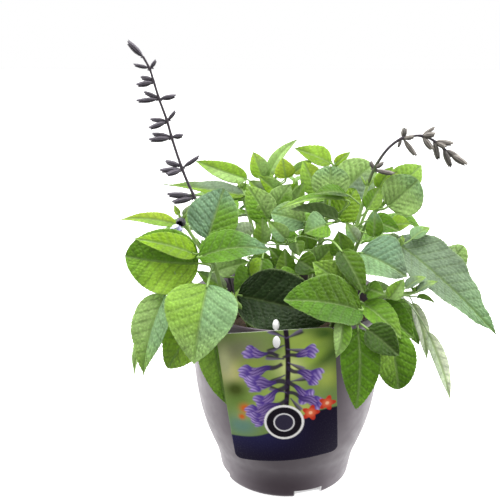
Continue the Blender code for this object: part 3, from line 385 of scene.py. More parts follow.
# A flower spike is a stem with calyces: points of the stem, then foot, tip and radius of each calyx.
LEFT_SPIKE_STEM = ((-38, 2, 117), (-43, 2, 150), (-52, 1, 182), (-61, 0, 203), (-72.4, 0, 226.5),
                   (-79.2, 0, 243.5), (-85.8, 0, 264.7), (-89.5, 0, 279), (-94.6, 0, 294),
                   (-98.3, 0, 307), (-101, 0, 316), (-105.5, 0, 324.5))
LEFT_CALYCES = (((-104.9, 0, 323.8), (-116, 0, 334.3), 2.0), ((-100.9, 0, 316.4), (-111.8, -2, 318.6), 1.2),
                ((-100.6, 0, 316.1), (-96.3, 1, 321.7), 1.2), ((-98.4, 0, 308), (-108, 3, 309.5), 1.7),
                ((-98.1, 0, 306.6), (-110.1, -3, 304.2), 1.8), ((-94.8, 0, 295.2), (-106, 3, 298.7), 1.5),
                ((-94.8, 0, 294.5), (-110.5, -3, 292.9), 1.6), ((-94.5, 0, 294.6), (-82.8, 1, 296.4), 1.7),
                ((-89.5, 0, 278.9), (-101.9, 3, 279), 1.5), ((-89.4, 0, 278.2), (-101.8, -4, 273.5), 1.7),
                ((-89.2, 0, 278.6), (-83.1, 1, 285.6), 1.2), ((-86.4, 0, 267.2), (-101, 3, 268.3), 1.7),
                ((-86.4, 0, 266.1), (-102.3, -3, 264.7), 1.8), ((-86.2, 0, 266.9), (-78.1, 1, 267.7), 1.7),
                ((-79.9, 0, 245.4), (-91.7, 4, 247.6), 1.9), ((-79.2, 0, 243.1), (-94.9, -2, 241.8), 1.9),
                ((-79.1, 0, 242.7), (-89.5, -7, 239.8), 1.8), ((-79.1, 0, 243.9), (-66.6, 2, 252.1), 1.4),
                ((-71, 0, 222.9), (-90.3, 0, 223.2), 2.1), ((-70.4, 0, 221.4), (-85.9, -5, 218.6), 1.9))
RIGHT_SPIKE_STEM = ((59.57, 10, 230.35), (61.4, 10, 235.8), (63.4, 10, 241), (67.6, 10, 249.5),
                    (74.3, 10, 258.8), (82.8, 10, 265.3), (92.2, 10, 267.6), (98.7, 10, 267.4),
                    (105.4, 10, 265), (113.2, 10, 259.5), (121, 10, 252.8))
RIGHT_CALYCES = (((64, 10, 242.2), (61, 10, 248.2), 1.3), ((64.4, 10, 243), (70.7, 8, 247.7), 1.4),
                 ((64, 10, 241.9), (78.4, 8, 239.3), 1.6), ((84.3, 10, 265.7), (85.5, 12, 273.1), 1.9),
                 ((84.3, 10, 265.6), (91.5, 5, 267.3), 1.5), ((83.2, 10, 265.2), (81, 9, 259.4), 1.0),
                 ((84.3, 10, 265.5), (93.5, 7, 253.4), 1.7), ((97.7, 10, 267.5), (107.2, 12, 273.5), 1.3),
                 ((98.1, 10, 267.4), (107, 7, 269), 1.9), ((98.5, 10, 267.1), (105.5, 7, 258), 2.0),
                 ((107.4, 10, 263.8), (120.5, 9, 261.8), 1.9), ((107.1, 10, 264), (110.6, 8, 250.8), 1.9),
                 ((108.6, 10, 262.9), (115, 6, 259.7), 1.7), ((114, 10, 258.6), (120.1, 8, 245.3), 1.9),
                 ((115.5, 10, 257.5), (126.3, 12, 251.1), 2.0), ((119.4, 10, 254.2), (131.7, 9, 246.6), 2.1))
SPIKE_RADIUS = 1.3
SPIKE_TIP_RADIUS = 0.8

# The withered flower at the top of the old shoot: foot and tip of its calyx and of its petals.
OLD_FLOWER_CALYX = ((-82, 14.7, 200.4), (-83, 6, 199.4))
OLD_FLOWER_PETALS = ((-83.3, 5.5, 198.7), (-90, -1.5, 194.3))
OLD_FLOWER_RADIUS = 3.2


def card_place(u, v):
    """Points of the hanging card's face: u across and v up from its middle.

    The card leans in towards its foot, and its foot bows round the pot and so looks narrower.
    """
    u = u * (1 + CARD_TAPER * v / CARD_HEIGHT)
    across = u * math.cos(CARD_TURN) - v * math.sin(CARD_TURN)
    up = u * math.sin(CARD_TURN) + v * math.cos(CARD_TURN)
    low = np.maximum(0, 0.5 - v / CARD_HEIGHT)
    back = CARD_LEAN * np.maximum(0, -up) * low + CARD_BOW * low * across * across
    return np.array(CARD_MIDDLE) + np.stack((across, back, up), axis=-1)


def linear(red, green, blue):
    """A colour as seen on a screen, 0 to 255, as linear light."""
    share = np.array((red, green, blue), float) / 255
    return np.where(share <= 0.04045, share / 12.92, ((share + 0.055) / 1.055) ** 2.4)


# Leaf tones with light partly painted in: blue, mint and grey are painted sheen, the bluish gloss of soft
# light on the hairy, wrinkled leaves; shade and night are painted shade for leaves that lie deep in shade.
TONES = {name: linear(*colour) for name, colour in {
    "sun": (186, 214, 70), "lime": (142, 184, 34), "moss": (118, 154, 32), "olive": (82, 118, 18),
    "bright": (160, 200, 66), "fresh": (146, 186, 74), "mid": (112, 158, 44),
    "grass": (92, 138, 26), "deep": (80, 122, 34), "dark": (60, 90, 24), "shade": (50, 72, 32),
    "night": (38, 58, 24), "mint": (140, 178, 124), "blue": (124, 158, 124),
    "grey": (126, 148, 118), "pale": (172, 206, 124), "white": (200, 216, 184),
    "silver": (232, 238, 222)
}.items()}
PALE_VEIN = linear(176, 206, 130)
LEAF_BACK = linear(170, 194, 140)
YOUNG_STEM = linear(142, 176, 92)
OLD_STEM = linear(116, 140, 74)
STEM_FLUSH = linear(96, 74, 66)
HAIR = linear(214, 222, 196)

FINE_STEP = 0.75
COARSE_STEP = 1.1
CELL_SIZE = 2.6
CELL_TABLE = 64
LEAF_THICKNESS = 0.42
TOOTH_PITCH = 2.7
TOOTH_HEIGHT = 0.5
FULL_TOOTH_WIDTH = 20
FULL_RIB_WIDTH = 24
WIDEST_VEIN_GAP = 8.0
LEAST_VEIN_GAP = 3.4
SIDE_VEINS = 7.5
SIDE_VEIN_SPREAD = 0.6
MIDRIB_SPREAD = 0.9
FULL_QUILT = 1.6
FULL_QUILT_WIDTH = 36.0
VEIN_ON_DARK = 9.0
HAIR_THICKNESS = 0.05
HAIR_LEAN = 0.4
# Points along a stem between two given ones: roughly, to find joints, and for its surface.
ROUGH_STEM_STEPS = 4
FINE_STEM_STEPS = 14
STALK_STEPS = 10
STEM_HAIRS = 260
STALK_HAIRS = 40
# A stalk's radius at its stem and at its blade, the width of leaf that has a full one, and the least share.
STALK_ENDS = (1.05, 0.85)
FULL_STALK_WIDTH = 24
LEAST_STALK = 0.55
STEM_HAIR_LENGTH = 0.8
STALK_HAIR_LENGTH = 0.6
JOINT_SWELL = 0.35
JOINT_SPREAD = 2.2
BUD_STEP = 0.8
BUD_LOOK = ("lime", "bright", "bright")
# Length and outward lean of the leaves in each pair of a bud.
BUD_PAIRS = ((8.0, 0.5), (5.0, 0.25))

cell_spots = np.random.RandomState(SEED).uniform(0.08, 0.92, (CELL_TABLE, CELL_TABLE, 2))


def smooth_step(low, high, value):
    share = np.clip((value - low) / (high - low), 0, 1)
    return share * share * (3 - 2 * share)


def mix(first, second, share):
    return first + (second - first) * share


def around(count):
    """Even angles once round a circle."""
    return np.linspace(0, 2 * np.pi, count, endpoint=False)


class Gathered:
    """Points, colours and faces of one piece in millimetres, gathered part by part."""

    def __init__(self):
        self.points, self.tones, self.faces, self.slots = [], [], [], []
        self.count = 0

    def add(self, points, tones, faces, slot=0):
        """faces is a list of whole-number arrays, each with one face a row."""
        points = np.asarray(points, float)
        self.points.append(points)
        self.tones.append(np.broadcast_to(tones, points.shape))
        for block in faces:
            self.faces.append(np.asarray(block, int) + self.count)
            self.slots.append(slot)
        self.count += len(points)

    def piece(self, name, materials):
        """The mesh object of all parts, with their colours in the attribute tone."""
        mesh = bpy.data.meshes.new(name)
        points = np.concatenate(self.points) * MM
        corners = np.concatenate([block.ravel() for block in self.faces])
        sizes = np.concatenate([np.full(len(block), block.shape[1]) for block in self.faces])
        slots = np.concatenate([np.full(len(b), s) for b, s in zip(self.faces, self.slots)])
        mesh.vertices.add(len(points))
        mesh.vertices.foreach_set("co", points.ravel())
        mesh.loops.add(len(corners))
        mesh.loops.foreach_set("vertex_index", corners)
        mesh.polygons.add(len(sizes))
        mesh.polygons.foreach_set("loop_start", np.concatenate(([0], np.cumsum(sizes)[:-1])))
        mesh.polygons.foreach_set("material_index", slots)
        mesh.update(calc_edges=True)
        mesh.validate()
        tones = np.ones((len(points), 4))
        tones[:, :3] = np.concatenate(self.tones)
        layer = mesh.color_attributes.new("tone", "FLOAT_COLOR", "POINT")
        layer.data.foreach_set("color", tones.ravel())
        mesh.shade_smooth()
        item = bpy.data.objects.new(name, mesh)
        bpy.context.scene.collection.objects.link(item)
        for material in materials:
            mesh.materials.append(material)
        return item


def grid_faces(rows, columns, closed=False):
    """Four-cornered faces between rows and columns of points, closed round the columns or not."""
    width = columns if closed else columns + 1
    row, column = np.meshgrid(np.arange(rows), np.arange(columns), indexing="ij")
    here = (row * width + column).ravel()
    beside = (row * width + (column + 1) % width).ravel()
    return np.stack((here, here + width, beside + width, beside), axis=1)


def add_shell(gathered, rings, tones, ends=None, end_tones=None, slot=0, inward=False):
    """A closed solid through rings of points, shut by flat ends or by fans round two end points.

    inward is for rings that run down the outside instead of up.
    """
    rows, sides = rings.shape[:2]
    this = np.arange(sides)
    following = (this + 1) % sides
    last = (rows - 1) * sides
    body = grid_faces(rows - 1, sides, closed=True)[:, ::-1]
    points = rings.reshape(-1, 3)
    tones = np.broadcast_to(tones, rings.shape)
    if ends is None:
        caps = [this[None, ::-1], (this + last)[None, :]]
        colours = tones.reshape(-1, 3)
    else:
        caps = [np.stack((np.full(sides, len(points)), following, this), axis=1),
                np.stack((np.full(sides, len(points) + 1), this + last, following + last), axis=1)]
        points = np.concatenate((points, ends))
        if end_tones is None:
            end_tones = tones[[0, -1], 0]
        colours = np.concatenate((tones.reshape(-1, 3), end_tones))
    if inward:
        body = body[:, ::-1]
        caps = [cap[:, (0, 2, 1)] for cap in caps]
    gathered.add(points, colours, [body] + caps, slot)


def add_sheet(gathered, top, under, upper, lower, kept=slice(None)):
    """A thin sheet between two grids of points, shut by a rim; kept picks the faces of both."""
    rows, columns = top.shape[0] - 1, top.shape[1] - 1
    width = columns + 1
    count = (rows + 1) * width
    near = np.arange(columns)
    far = near + rows * width
    low = np.arange(rows) * width
    high = low + columns
    faces = grid_faces(rows, columns)[kept]
    rim = [np.stack((a, b, b + count, a + count), axis=1)
           for a, b in ((near, near + 1), (far + 1, far), (low + width, low), (high, high + width))]
    gathered.add(np.concatenate((top.reshape(-1, 3), under.reshape(-1, 3))),
                 np.concatenate((upper.reshape(-1, 3), lower.reshape(-1, 3))),
                 [faces, faces[:, ::-1] + count] + rim)


def cells(u, v):
    """Distances to the nearest and the second nearest of scattered points, one to a unit square."""
    column, row = np.floor(u).astype(int), np.floor(v).astype(int)
    first = np.full(u.shape, 9.0)
    second = first.copy()
    for shift_u in (-1, 0, 1):
        for shift_v in (-1, 0, 1):
            near_u, near_v = column + shift_u, row + shift_v
            spot = cell_spots[near_u % CELL_TABLE, near_v % CELL_TABLE]
            gap = np.hypot(near_u + spot[..., 0] - u, near_v + spot[..., 1] - v)
            second = np.minimum(second, np.maximum(first, gap))
            first = np.minimum(first, gap)
    return first, second


def ripple(u, v):
    """A soft uneven wave between about -1 and 1."""
    return (np.sin(u * 1.3 + 0.7 * np.sin(v * 0.9)) + np.sin(v * 1.7 + 0.8 * np.sin(u * 1.1 + 2))) / 2


def leaf_relief(x, y, length, shift):
    """How far each point of the upper face rises between the veins, 0 to 1, and how near a vein it is."""
    spacing = min(WIDEST_VEIN_GAP, max(LEAST_VEIN_GAP, length / SIDE_VEINS))
    phase = (y - 0.72 * np.abs(x) + 0.006 * x * x) / spacing + np.where(x < 0, 0.42, 0.0) + shift
    to_side_vein = np.abs((phase + 0.5) % 1 - 0.5) * spacing * 0.8
    side_vein = np.exp(-(to_side_vein / SIDE_VEIN_SPREAD) ** 2)
    midrib = np.exp(-(x / MIDRIB_SPREAD) ** 2)
    first, second = cells(phase * spacing / CELL_SIZE, np.abs(x) / CELL_SIZE + np.where(x < 0, 9, 0))
    net = 1 - smooth_step(0.05, 0.5, second - first)
    rise = (0.5 * (1 - side_vein) + 0.5 * (1 - net)) * (1 - midrib)
    return rise, side_vein, midrib


def add_leaf(gathered, leaf, step, shift):
    """A thin blade with crenate edges, sunken veins and quilting between them, closed all round."""
    along, side, normal, length = (np.array(value) for value in leaf_axes(leaf))
    rows = max(8, round(length / step))
    columns = 2 * max(3, round(leaf.width / step / 2))
    even = np.linspace(0, 1, rows + 1)
    t = 0.75 * even + 0.25 * 0.5 * (1 - np.cos(np.pi * even))
    s = np.linspace(-1, 1, columns + 1)
    t, s = np.meshgrid(t, s, indexing="ij")
    y = t * length
    half = leaf.width / 2 * outline(t, leaf.point)
    tooth = (y / TOOTH_PITCH + shift) % 1
    depth = TOOTH_HEIGHT * min(1.0, leaf.width / FULL_TOOTH_WIDTH)
    notch = depth * (1 - tooth) ** 1.5 * smooth_step(0.03, 0.12, t)
    half = np.sqrt(np.maximum(half - notch, 0) ** 2 + (0.8 * (1 - t) ** 8) ** 2 + 0.12 ** 2)
    x = s * half
    rise, side_vein, midrib = leaf_relief(x, y, length, shift)
    quilt = FULL_QUILT * min(1.0, leaf.width / FULL_QUILT_WIDTH) * (1 - smooth_step(0.9, 1.0, t))
    edge = np.abs(s)
    dish = math.sin(FOLD) * half * (1.5 * edge - 0.5 * edge ** 2)
    wave = 0.035 * leaf.width * ripple(y / 5 + 3 * shift, x / 6 + shift) * edge ** 2
    height = dish + wave + quilt * (rise - 0.55) * (1 - 0.5 * edge ** 4) - 0.35 * midrib * (1 - t)
    chord = np.array(leaf.base) + y[..., None] * along
    bend = length * 4 * t * (1 - t)
    sideways = x * math.cos(FOLD) + leaf.sway * bend
    middle = chord + sideways[..., None] * side + (leaf.arch * bend)[..., None] * normal
    top = middle + height[..., None] * normal
    rib = 0.75 * (1 - t) ** 0.8 * np.exp(-(x / 0.75) ** 2) + 0.22 * side_vein * (1 - edge)
    thick = LEAF_THICKNESS * (1 - 0.6 * edge ** 2) + rib * min(1.0, leaf.width / FULL_RIB_WIDTH)
    under = top - thick[..., None] * normal

    # The halves and tip take the leaf's tones, with the painted sheen and painted shade that some of them
    # carry.
    left, right, tip = (TONES[name] for name in leaf.look)
    halves = mix(right, left, smooth_step(-0.6, 0.6, x)[..., None])
    tone = mix(halves, tip, (0.85 * smooth_step(0.45, 0.95, t))[..., None])
    spread = 0.93 + 0.1 * ripple(y / 9 + 5 * shift, x / 7)
    # Painted light and shade of the quilting: the bulges between the veins are painted lighter and the sunken
    # veins darker.
    light = spread * (0.66 + 0.52 * rise)
    vein = np.clip(0.55 * midrib + 0.16 * side_vein * (1 - 0.5 * edge), 0, 1)
    vein = vein * np.clip(VEIN_ON_DARK * tone.mean(axis=-1), 0.3, 1)
    rim = 0.3 * smooth_step(0.93, 1.0, edge)
    upper = mix(tone * light[..., None], PALE_VEIN * 0.9, np.maximum(vein, rim)[..., None])
    lower = mix(tone, LEAF_BACK, 0.5) * (0.86 + 0.2 * np.maximum(side_vein, midrib))[..., None]
    add_sheet(gathered, top, under, upper, lower)


def rings_along(route, sides):
    """Unit vectors round each point of a route, the same way round from one point to the next."""
    ahead = np.gradient(route, axis=0)
    ahead /= np.linalg.norm(ahead, axis=1)[:, None]
    guide = np.array((0.0, 1.0, 0.0)) if abs(ahead[0, 1]) < 0.8 else np.array((1.0, 0.0, 0.0))
    across = np.cross(guide, ahead[0])
    angles = around(sides)[:, None]
    rings = []
    for direction in ahead:
        across = across - direction * across.dot(direction)
        across /= np.linalg.norm(across)
        other = np.cross(direction, across)
        rings.append(np.cos(angles) * across + np.sin(angles) * other)
    return np.array(rings), ahead


def add_tube(gathered, route, radii, tones, sides=12, square=0.0, slot=0):
    """A closed tube along a route. square makes its section four-cornered, as a sage stem's is."""
    rings, _ = rings_along(route, sides)
    shape = 1 - square * np.cos(4 * around(sides))
    points = route[:, None, :] + rings * (radii[:, None] * shape[None, :])[..., None]
    ring_tones = np.broadcast_to(tones, (len(route), 3))[:, None]
    add_shell(gathered, points, ring_tones, route[[0, -1]], slot=slot)


def add_hairs(gathered, roots, ways, lengths, tone, slot=0):
    """Fine closed spines of three sides, one at each root."""
    ways = ways / np.linalg.norm(ways, axis=1)[:, None]
    guide = np.where(np.abs(ways[:, 2:3]) < 0.9, np.array((0.0, 0.0, 1.0)), np.array((1.0, 0.0, 0.0)))
    across = np.cross(guide, ways)
    across /= np.linalg.norm(across, axis=1)[:, None]
    other = np.cross(ways, across)
    corners = [roots + HAIR_THICKNESS * (math.cos(angle) * across + math.sin(angle) * other)
               for angle in (0.0, 2 * math.pi / 3, 4 * math.pi / 3)]
    tips = roots + ways * lengths[:, None]
    points = np.stack(corners + [tips], axis=1).reshape(-1, 3)
    first = 4 * np.arange(len(roots))
    faces = [np.stack((first + a, first + b, first + c), axis=1)
             for a, b, c in ((0, 1, 3), (1, 2, 3), (2, 0, 3), (0, 2, 1))]
    gathered.add(points, tone, faces, slot)


def add_tube_hairs(gathered, route, radii, count, length, tone, draw, slot=0):
    """Hairs scattered over a tube, leaning towards its end."""
    rings, ahead = rings_along(route, 16)
    place = draw.uniform(0.02, 0.98, count) * (len(route) - 1)
    low = place.astype(int)
    share = (place - low)[:, None]
    angle = draw.randint(0, 16, count)
    away = rings[low, angle]
    centre = mix(route[low], route[low + 1], share)
    radius = mix(radii[low], radii[low + 1], share[:, 0])
    roots = centre + away * (radius * 0.9)[:, None]
    ways = away + ahead[low] * HAIR_LEAN + draw.uniform(-0.3, 0.3, (count, 3))
    add_hairs(gathered, roots, ways, length * draw.uniform(0.5, 1.2, count), tone, slot)


def petiole_route(leaf, route):
    """The smooth line of the leaf's stalk, from inside the stem to the foot of the blade."""
    start = at_height(route, leaf.joint)
    base = Vector(leaf.base)
    bend = base + (base - spine(leaf, 0.08)).normalized() * (0.4 * (base - start).length)
    bend.z = max(bend.z, min(start.z, base.z))
    beyond = base + (spine(leaf, 0.1) - base) * 0.5
    shares = [index / STALK_STEPS for index in range(STALK_STEPS + 1)]
    points = [start * (1 - u) ** 2 + bend * (2 * u * (1 - u)) + base * u ** 2 for u in shares]
    return array(points + [beyond])


def add_bud(gathered, top, shift):
    """Two crossed pairs of small folded leaves at the tip of a shoot."""
    for pair, (length, lean) in enumerate(BUD_PAIRS):
        for half in (0, 1):
            angle = shift * 6 + math.pi * half + math.pi / 2 * pair
            away = Vector((math.cos(angle), math.sin(angle), 0))
            base = top + away * 0.6 + Vector((0, 0, 0.6 * pair))
            tip = base + (away * lean + Vector((0, 0, 0.9))) * length
            face = tuple(-away + Vector((0, 0, 0.3)))
            leaf = Leaf(base.z, tuple(base), tuple(tip), length * 0.45, face, -0.08, look=BUD_LOOK)
            add_leaf(gathered, leaf, BUD_STEP, shift + 0.3 * half)


def add_shoot(gathered, shoot, step, draw):
    """A four-cornered hairy stem with its stalked leaves and a bud at its tip."""
    rough = smooth_route(shoot.stem, ROUGH_STEM_STEPS)
    route = array(smooth_route(shoot.stem, FINE_STEM_STEPS))
    share = np.linspace(0, 1, len(route))
    radii = STEM_RADIUS + (STEM_TIP_RADIUS - STEM_RADIUS) * share
    for leaf in shoot.leaves:
        joint = np.array(at_height(rough, leaf.joint))
        radii = radii + JOINT_SWELL * np.exp(-(np.linalg.norm(route - joint, axis=1) / JOINT_SPREAD) ** 2)
    tones = mix(OLD_STEM, YOUNG_STEM, smooth_step(0.1, 0.8, share)[:, None])
    tones = mix(tones, STEM_FLUSH, (0.35 * (1 - smooth_step(0.0, 0.35, share)))[:, None])
    add_tube(gathered, route, radii, tones, 12, 0.08, 1)
    add_tube_hairs(gathered, route, radii, STEM_HAIRS, STEM_HAIR_LENGTH, HAIR, draw, 1)
    for leaf in shoot.leaves:
        shift = draw.uniform(0, 1)
        stalk = petiole_route(leaf, rough)
        size = min(1.0, max(LEAST_STALK, leaf.width / FULL_STALK_WIDTH))
        stalk_radii = np.linspace(*STALK_ENDS, len(stalk)) * size * PETIOLE_RADIUS
        tone = mix(YOUNG_STEM, TONES[leaf.look[0]], 0.25)
        add_tube(gathered, stalk, stalk_radii, tone, 8, 0.0, 1)
        add_tube_hairs(gathered, stalk, stalk_radii, STALK_HAIRS, STALK_HAIR_LENGTH, HAIR, draw, 1)
        add_leaf(gathered, leaf, step, shift)
    add_bud(gathered, Vector(route[-1]), draw.uniform(0, 1))


# The rib tones are the lighter grey of the calyx ribs: painted sheen of light on their hairs.
CALYX_DARK = linear(38, 32, 42)
CALYX_RIB_SHEEN = linear(104, 98, 108)
# The inside of a calyx's mouth is painted darker than its outside: painted shade in the cup.
CALYX_MOUTH_SHADE = linear(22, 18, 28)
BROWN_DARK = linear(82, 76, 72)
BROWN_RIB_SHEEN = linear(154, 148, 138)
SPIKE_HAIR = linear(140, 134, 144)
SPIKE_DARK = linear(64, 56, 64)
SPIKE_GREEN = linear(84, 104, 56)
CALYX_SIDES = 24
CALYX_STEPS = 14
CALYX_INNER_STEPS = 5
CALYX_HAIRS = 70
SPIKE_HAIRS = 420
SPIKE_HAIR_LENGTH = 0.6
WHORL_SWELL = 0.12
WHORL_SPREAD = 1.8
BRACT_LENGTH = 2.6


def add_calyx(gathered, foot, tip, radius, dark, rib, draw, open_mouth=0.75):
    """A ribbed bell with a short stalk and a two-lipped mouth."""
    foot, tip = np.array(foot, float), np.array(tip, float)
    length = np.linalg.norm(tip - foot)
    ahead = (tip - foot) / length
    guide = np.array((0.0, 0.0, 1.0)) if abs(ahead[2]) < 0.9 else np.array((0.0, 1.0, 0.0))
    up = guide - ahead * guide.dot(ahead)
    up /= np.linalg.norm(up)
    other = np.cross(ahead, up)
    t = np.linspace(0, 1, CALYX_STEPS + 1)[:, None]
    angle = around(CALYX_SIDES)[None, :]
    swell = np.interp(t, (0, 0.1, 0.3, 0.55, 0.8, 1.0), (0.24, 0.3, 0.84, 1.14, 1.1, open_mouth))
    ribs = 0.5 + 0.5 * np.cos(8 * angle)
    reach = radius * swell * (1 + 0.07 * ribs * smooth_step(0.1, 0.3, t))
    lip = 0.5 + 0.5 * np.cos(angle)
    teeth = 0.14 * np.abs(np.cos(2.5 * angle)) + 0.12 * lip
    place = t * length * (0.82 + teeth * smooth_step(0.6, 1.0, t))
    inner_t = np.linspace(1, 0.55, CALYX_INNER_STEPS)[:, None]
    inner_place = place[-1:] - (1 - inner_t) * length * 0.8
    inner_reach = reach[-1:] * np.linspace(0.86, 0.5, CALYX_INNER_STEPS)[:, None]
    place = np.concatenate((np.broadcast_to(place, reach.shape), inner_place))
    reach = np.concatenate((reach, inner_reach))
    points = (foot + place[..., None] * ahead
              + (reach * np.cos(angle))[..., None] * up + (reach * np.sin(angle))[..., None] * other)
    # The ribs and the rim of the mouth are painted lighter in the rib tone, a painted sheen; the side that
    # faces up is painted lighter and the underside darker, painted light from above.
    tones = mix(dark, rib, (0.75 * ribs ** 2 * np.ones_like(t))[..., None])
    tones = mix(tones, rib, (0.3 * smooth_step(0.75, 1.0, t) * np.ones_like(angle))[..., None])
    tones = tones * (0.5 + 0.8 * lip)[..., None]
    # The inner cup in the darker mouth tone, painted shade.
    inside = np.broadcast_to(CALYX_MOUTH_SHADE, (CALYX_INNER_STEPS, CALYX_SIDES, 3))
    tones = np.concatenate((tones, inside))
    add_shell(gathered, points, tones, [foot, points[-1].mean(axis=0)], [dark, CALYX_MOUTH_SHADE])
    row = draw.randint(3, CALYX_STEPS, CALYX_HAIRS)
    column = draw.randint(0, CALYX_SIDES, CALYX_HAIRS)
    roots = points[row, column]
    ways = np.cos(angle[0, column])[:, None] * up + np.sin(angle[0, column])[:, None] * other + 0.6 * ahead
    add_hairs(gathered, roots, ways, draw.uniform(0.3, 0.8, CALYX_HAIRS), SPIKE_HAIR)


def add_spike(gathered, stem, calyces, low_tone, high_tone, dark, rib, draw):
    """The stem of a flower spike, thicker where its whorls sit, with all its calyces."""
    route = array(smooth_route(stem, 6))
    share = np.linspace(0, 1, len(route))
    radii = SPIKE_RADIUS + (SPIKE_TIP_RADIUS - SPIKE_RADIUS) * share
    feet = array([foot for foot, tip, radius in calyces])
    for foot in feet:
        radii = radii + WHORL_SWELL * np.exp(-(np.linalg.norm(route - foot, axis=1) / WHORL_SPREAD) ** 2)
    tones = mix(low_tone, high_tone, smooth_step(0.12, 0.4, share)[:, None])
    add_tube(gathered, route, radii, tones, 12, 0.07)
    add_tube_hairs(gathered, route, radii, SPIKE_HAIRS, SPIKE_HAIR_LENGTH, SPIKE_HAIR, draw)
    for foot, tip, radius in calyces:
        add_calyx(gathered, foot, tip, radius, dark, rib, draw)
        add_bract(gathered, Vector(foot), Vector(tip) - Vector(foot), BRACT_LENGTH, dark, draw)


def add_bract(gathered, foot, ahead, length, tone, draw):
    """A small pointed bract under a calyx, as a folded sliver alike on both faces."""
    way = ahead.normalized() * 0.7 + Vector((draw.uniform(-0.4, 0.4), draw.uniform(-0.4, 0.4), -0.5))
    tip = foot + way.normalized() * length
    leaf = Leaf(foot.z, tuple(foot), tuple(tip), length * 0.42, (0.0, -0.8, 0.5), 0.1)
    _, side, normal, _ = leaf_axes(leaf)
    points = []
    for t, half_width, half_thickness, fold in bract_sections(leaf):
        lift = normal * (half_width * math.sin(fold))
        reach = side * (half_width * math.cos(fold))
        for place in (spine(leaf, t) + reach + lift, spine(leaf, t), spine(leaf, t) - reach + lift):
            points += [place + normal * half_thickness, place - normal * half_thickness]
    gathered.add(array(points), tone * 1.5, [bract_faces()])


# Share of a bract's length at its two middle sections, and how much narrower the second one is.
BRACT_MIDDLES = (0.436, 0.486)
BRACT_NARROWING = 0.89
BRACT_TIP = 0.4


def bract_sections(leaf):
    """Share of the length, half width, half thickness and fold of each section of a bract."""
    low, high = BRACT_MIDDLES
    half = leaf.width / 2
    return ((0.0, PETIOLE_RADIUS, SOLID_FOOT, 0.0),
            (low, half * outline(low, leaf.point), SOLID_TIP, FOLD),
            (high, half * outline(high, leaf.point) * BRACT_NARROWING, SOLID_TIP, FOLD),
            (1.0, BRACT_TIP, SOLID_TIP, 0.0))


def bract_faces():
    """Triangles between four sections of six points, upper and lower in turn, and at both ends."""
    faces = []
    for a in (0, 6, 12):
        b = a + 6
        for p, q in ((0, 2), (2, 4)):
            faces += [(a + p, a + q, b + q), (a + p, b + q, b + p)]
            faces += [(a + p + 1, b + q + 1, a + q + 1), (a + p + 1, b + p + 1, b + q + 1)]
        faces += [(a, b, b + 1), (a, b + 1, a + 1), (a + 4, b + 5, b + 4), (a + 4, a + 5, b + 5)]
    faces += [(0, 1, 3), (0, 3, 2), (2, 3, 5), (2, 5, 4)]
    return faces + [(18, 21, 19), (18, 20, 21), (20, 23, 21), (20, 22, 23)]


PETAL_WHITE = linear(222, 222, 240)
PETAL_BLUE = linear(92, 100, 170)
HOOD_DARK = linear(20, 20, 34)
PETAL_NECK_SHIFT = (0, 1.0, -2.2)
PETAL_NECK_RADII = (0.9, 1.4)
PETAL_RADIUS = 3.0
PETAL_FLATNESS = 0.55
PETAL_LENGTH = 6.5
# Shift from the flower's middle, size and share of blue of each petal.
PETALS = (((1.4, -3.0, 2.2), 1.0, 0.0), ((5.0, -3.6, 0.2), 0.85, 0.55), ((-0.8, -1.8, 0.4), 0.75, 0.2))


def add_petals(gathered):
    """Pale curled petals under the dark hood, each joined to it by a neck."""
    foot, tip = Vector(OLD_FLOWER_PETALS[0]), Vector(OLD_FLOWER_PETALS[1])
    middle = foot.lerp(tip, 0.5)
    mouth = Vector(OLD_FLOWER_CALYX[1]) + Vector(PETAL_NECK_SHIFT)
    ahead = np.array((tip - foot).normalized())
    across = np.cross(ahead, (0.0, 0.0, 1.0))
    across /= np.linalg.norm(across)
    up = np.cross(across, ahead)
    t = np.linspace(0.02, 0.98, 13)[:, None]
    angle = around(24)[None, :]
    neck_tone = mix(PETAL_WHITE, PETAL_BLUE, 0.4)
    for shift, size, blue in PETALS:
        centre = middle + Vector(shift)
        add_tube(gathered, array([mouth, centre]), np.array(PETAL_NECK_RADII), neck_tone)
        reach = PETAL_RADIUS * size * np.sin(np.pi * t) ** 0.7 * (1 + 0.08 * np.sin(3 * angle))
        x = reach * np.cos(angle)
        z = reach * PETAL_FLATNESS * np.sin(angle) + 0.5 * np.cos(angle * 2) * t
        y = (t - 0.5) * PETAL_LENGTH * size + 0 * angle
        points = np.array(centre) + x[..., None] * across + y[..., None] * ahead + z[..., None] * up
        share = np.clip(blue + 0.35 * smooth_step(0.6, 1.0, t), 0, 1)
        add_shell(gathered, points, mix(PETAL_WHITE, PETAL_BLUE, share[..., None]))


# The picture on the card, in its own millimetres: u to the right and v up from its middle.
CARD_STEP = 0.5
NAVY = linear(30, 25, 44)
BLUE_BAND = linear(44, 44, 84)
GARDEN = linear(122, 146, 76)
ORANGE = linear(206, 104, 44)
STEM_INK = linear(38, 30, 40)
NECK_INK = linear(52, 44, 62)
CALYX_INKS = (linear(44, 36, 50), linear(112, 98, 136))
TUBE_INKS = (linear(62, 44, 106), linear(170, 144, 206))
LOBE_INKS = (linear(84, 62, 142), linear(186, 164, 222))
RED_INKS = (linear(232, 116, 78), linear(198, 58, 40))
RED_MIDDLE = linear(250, 190, 150)
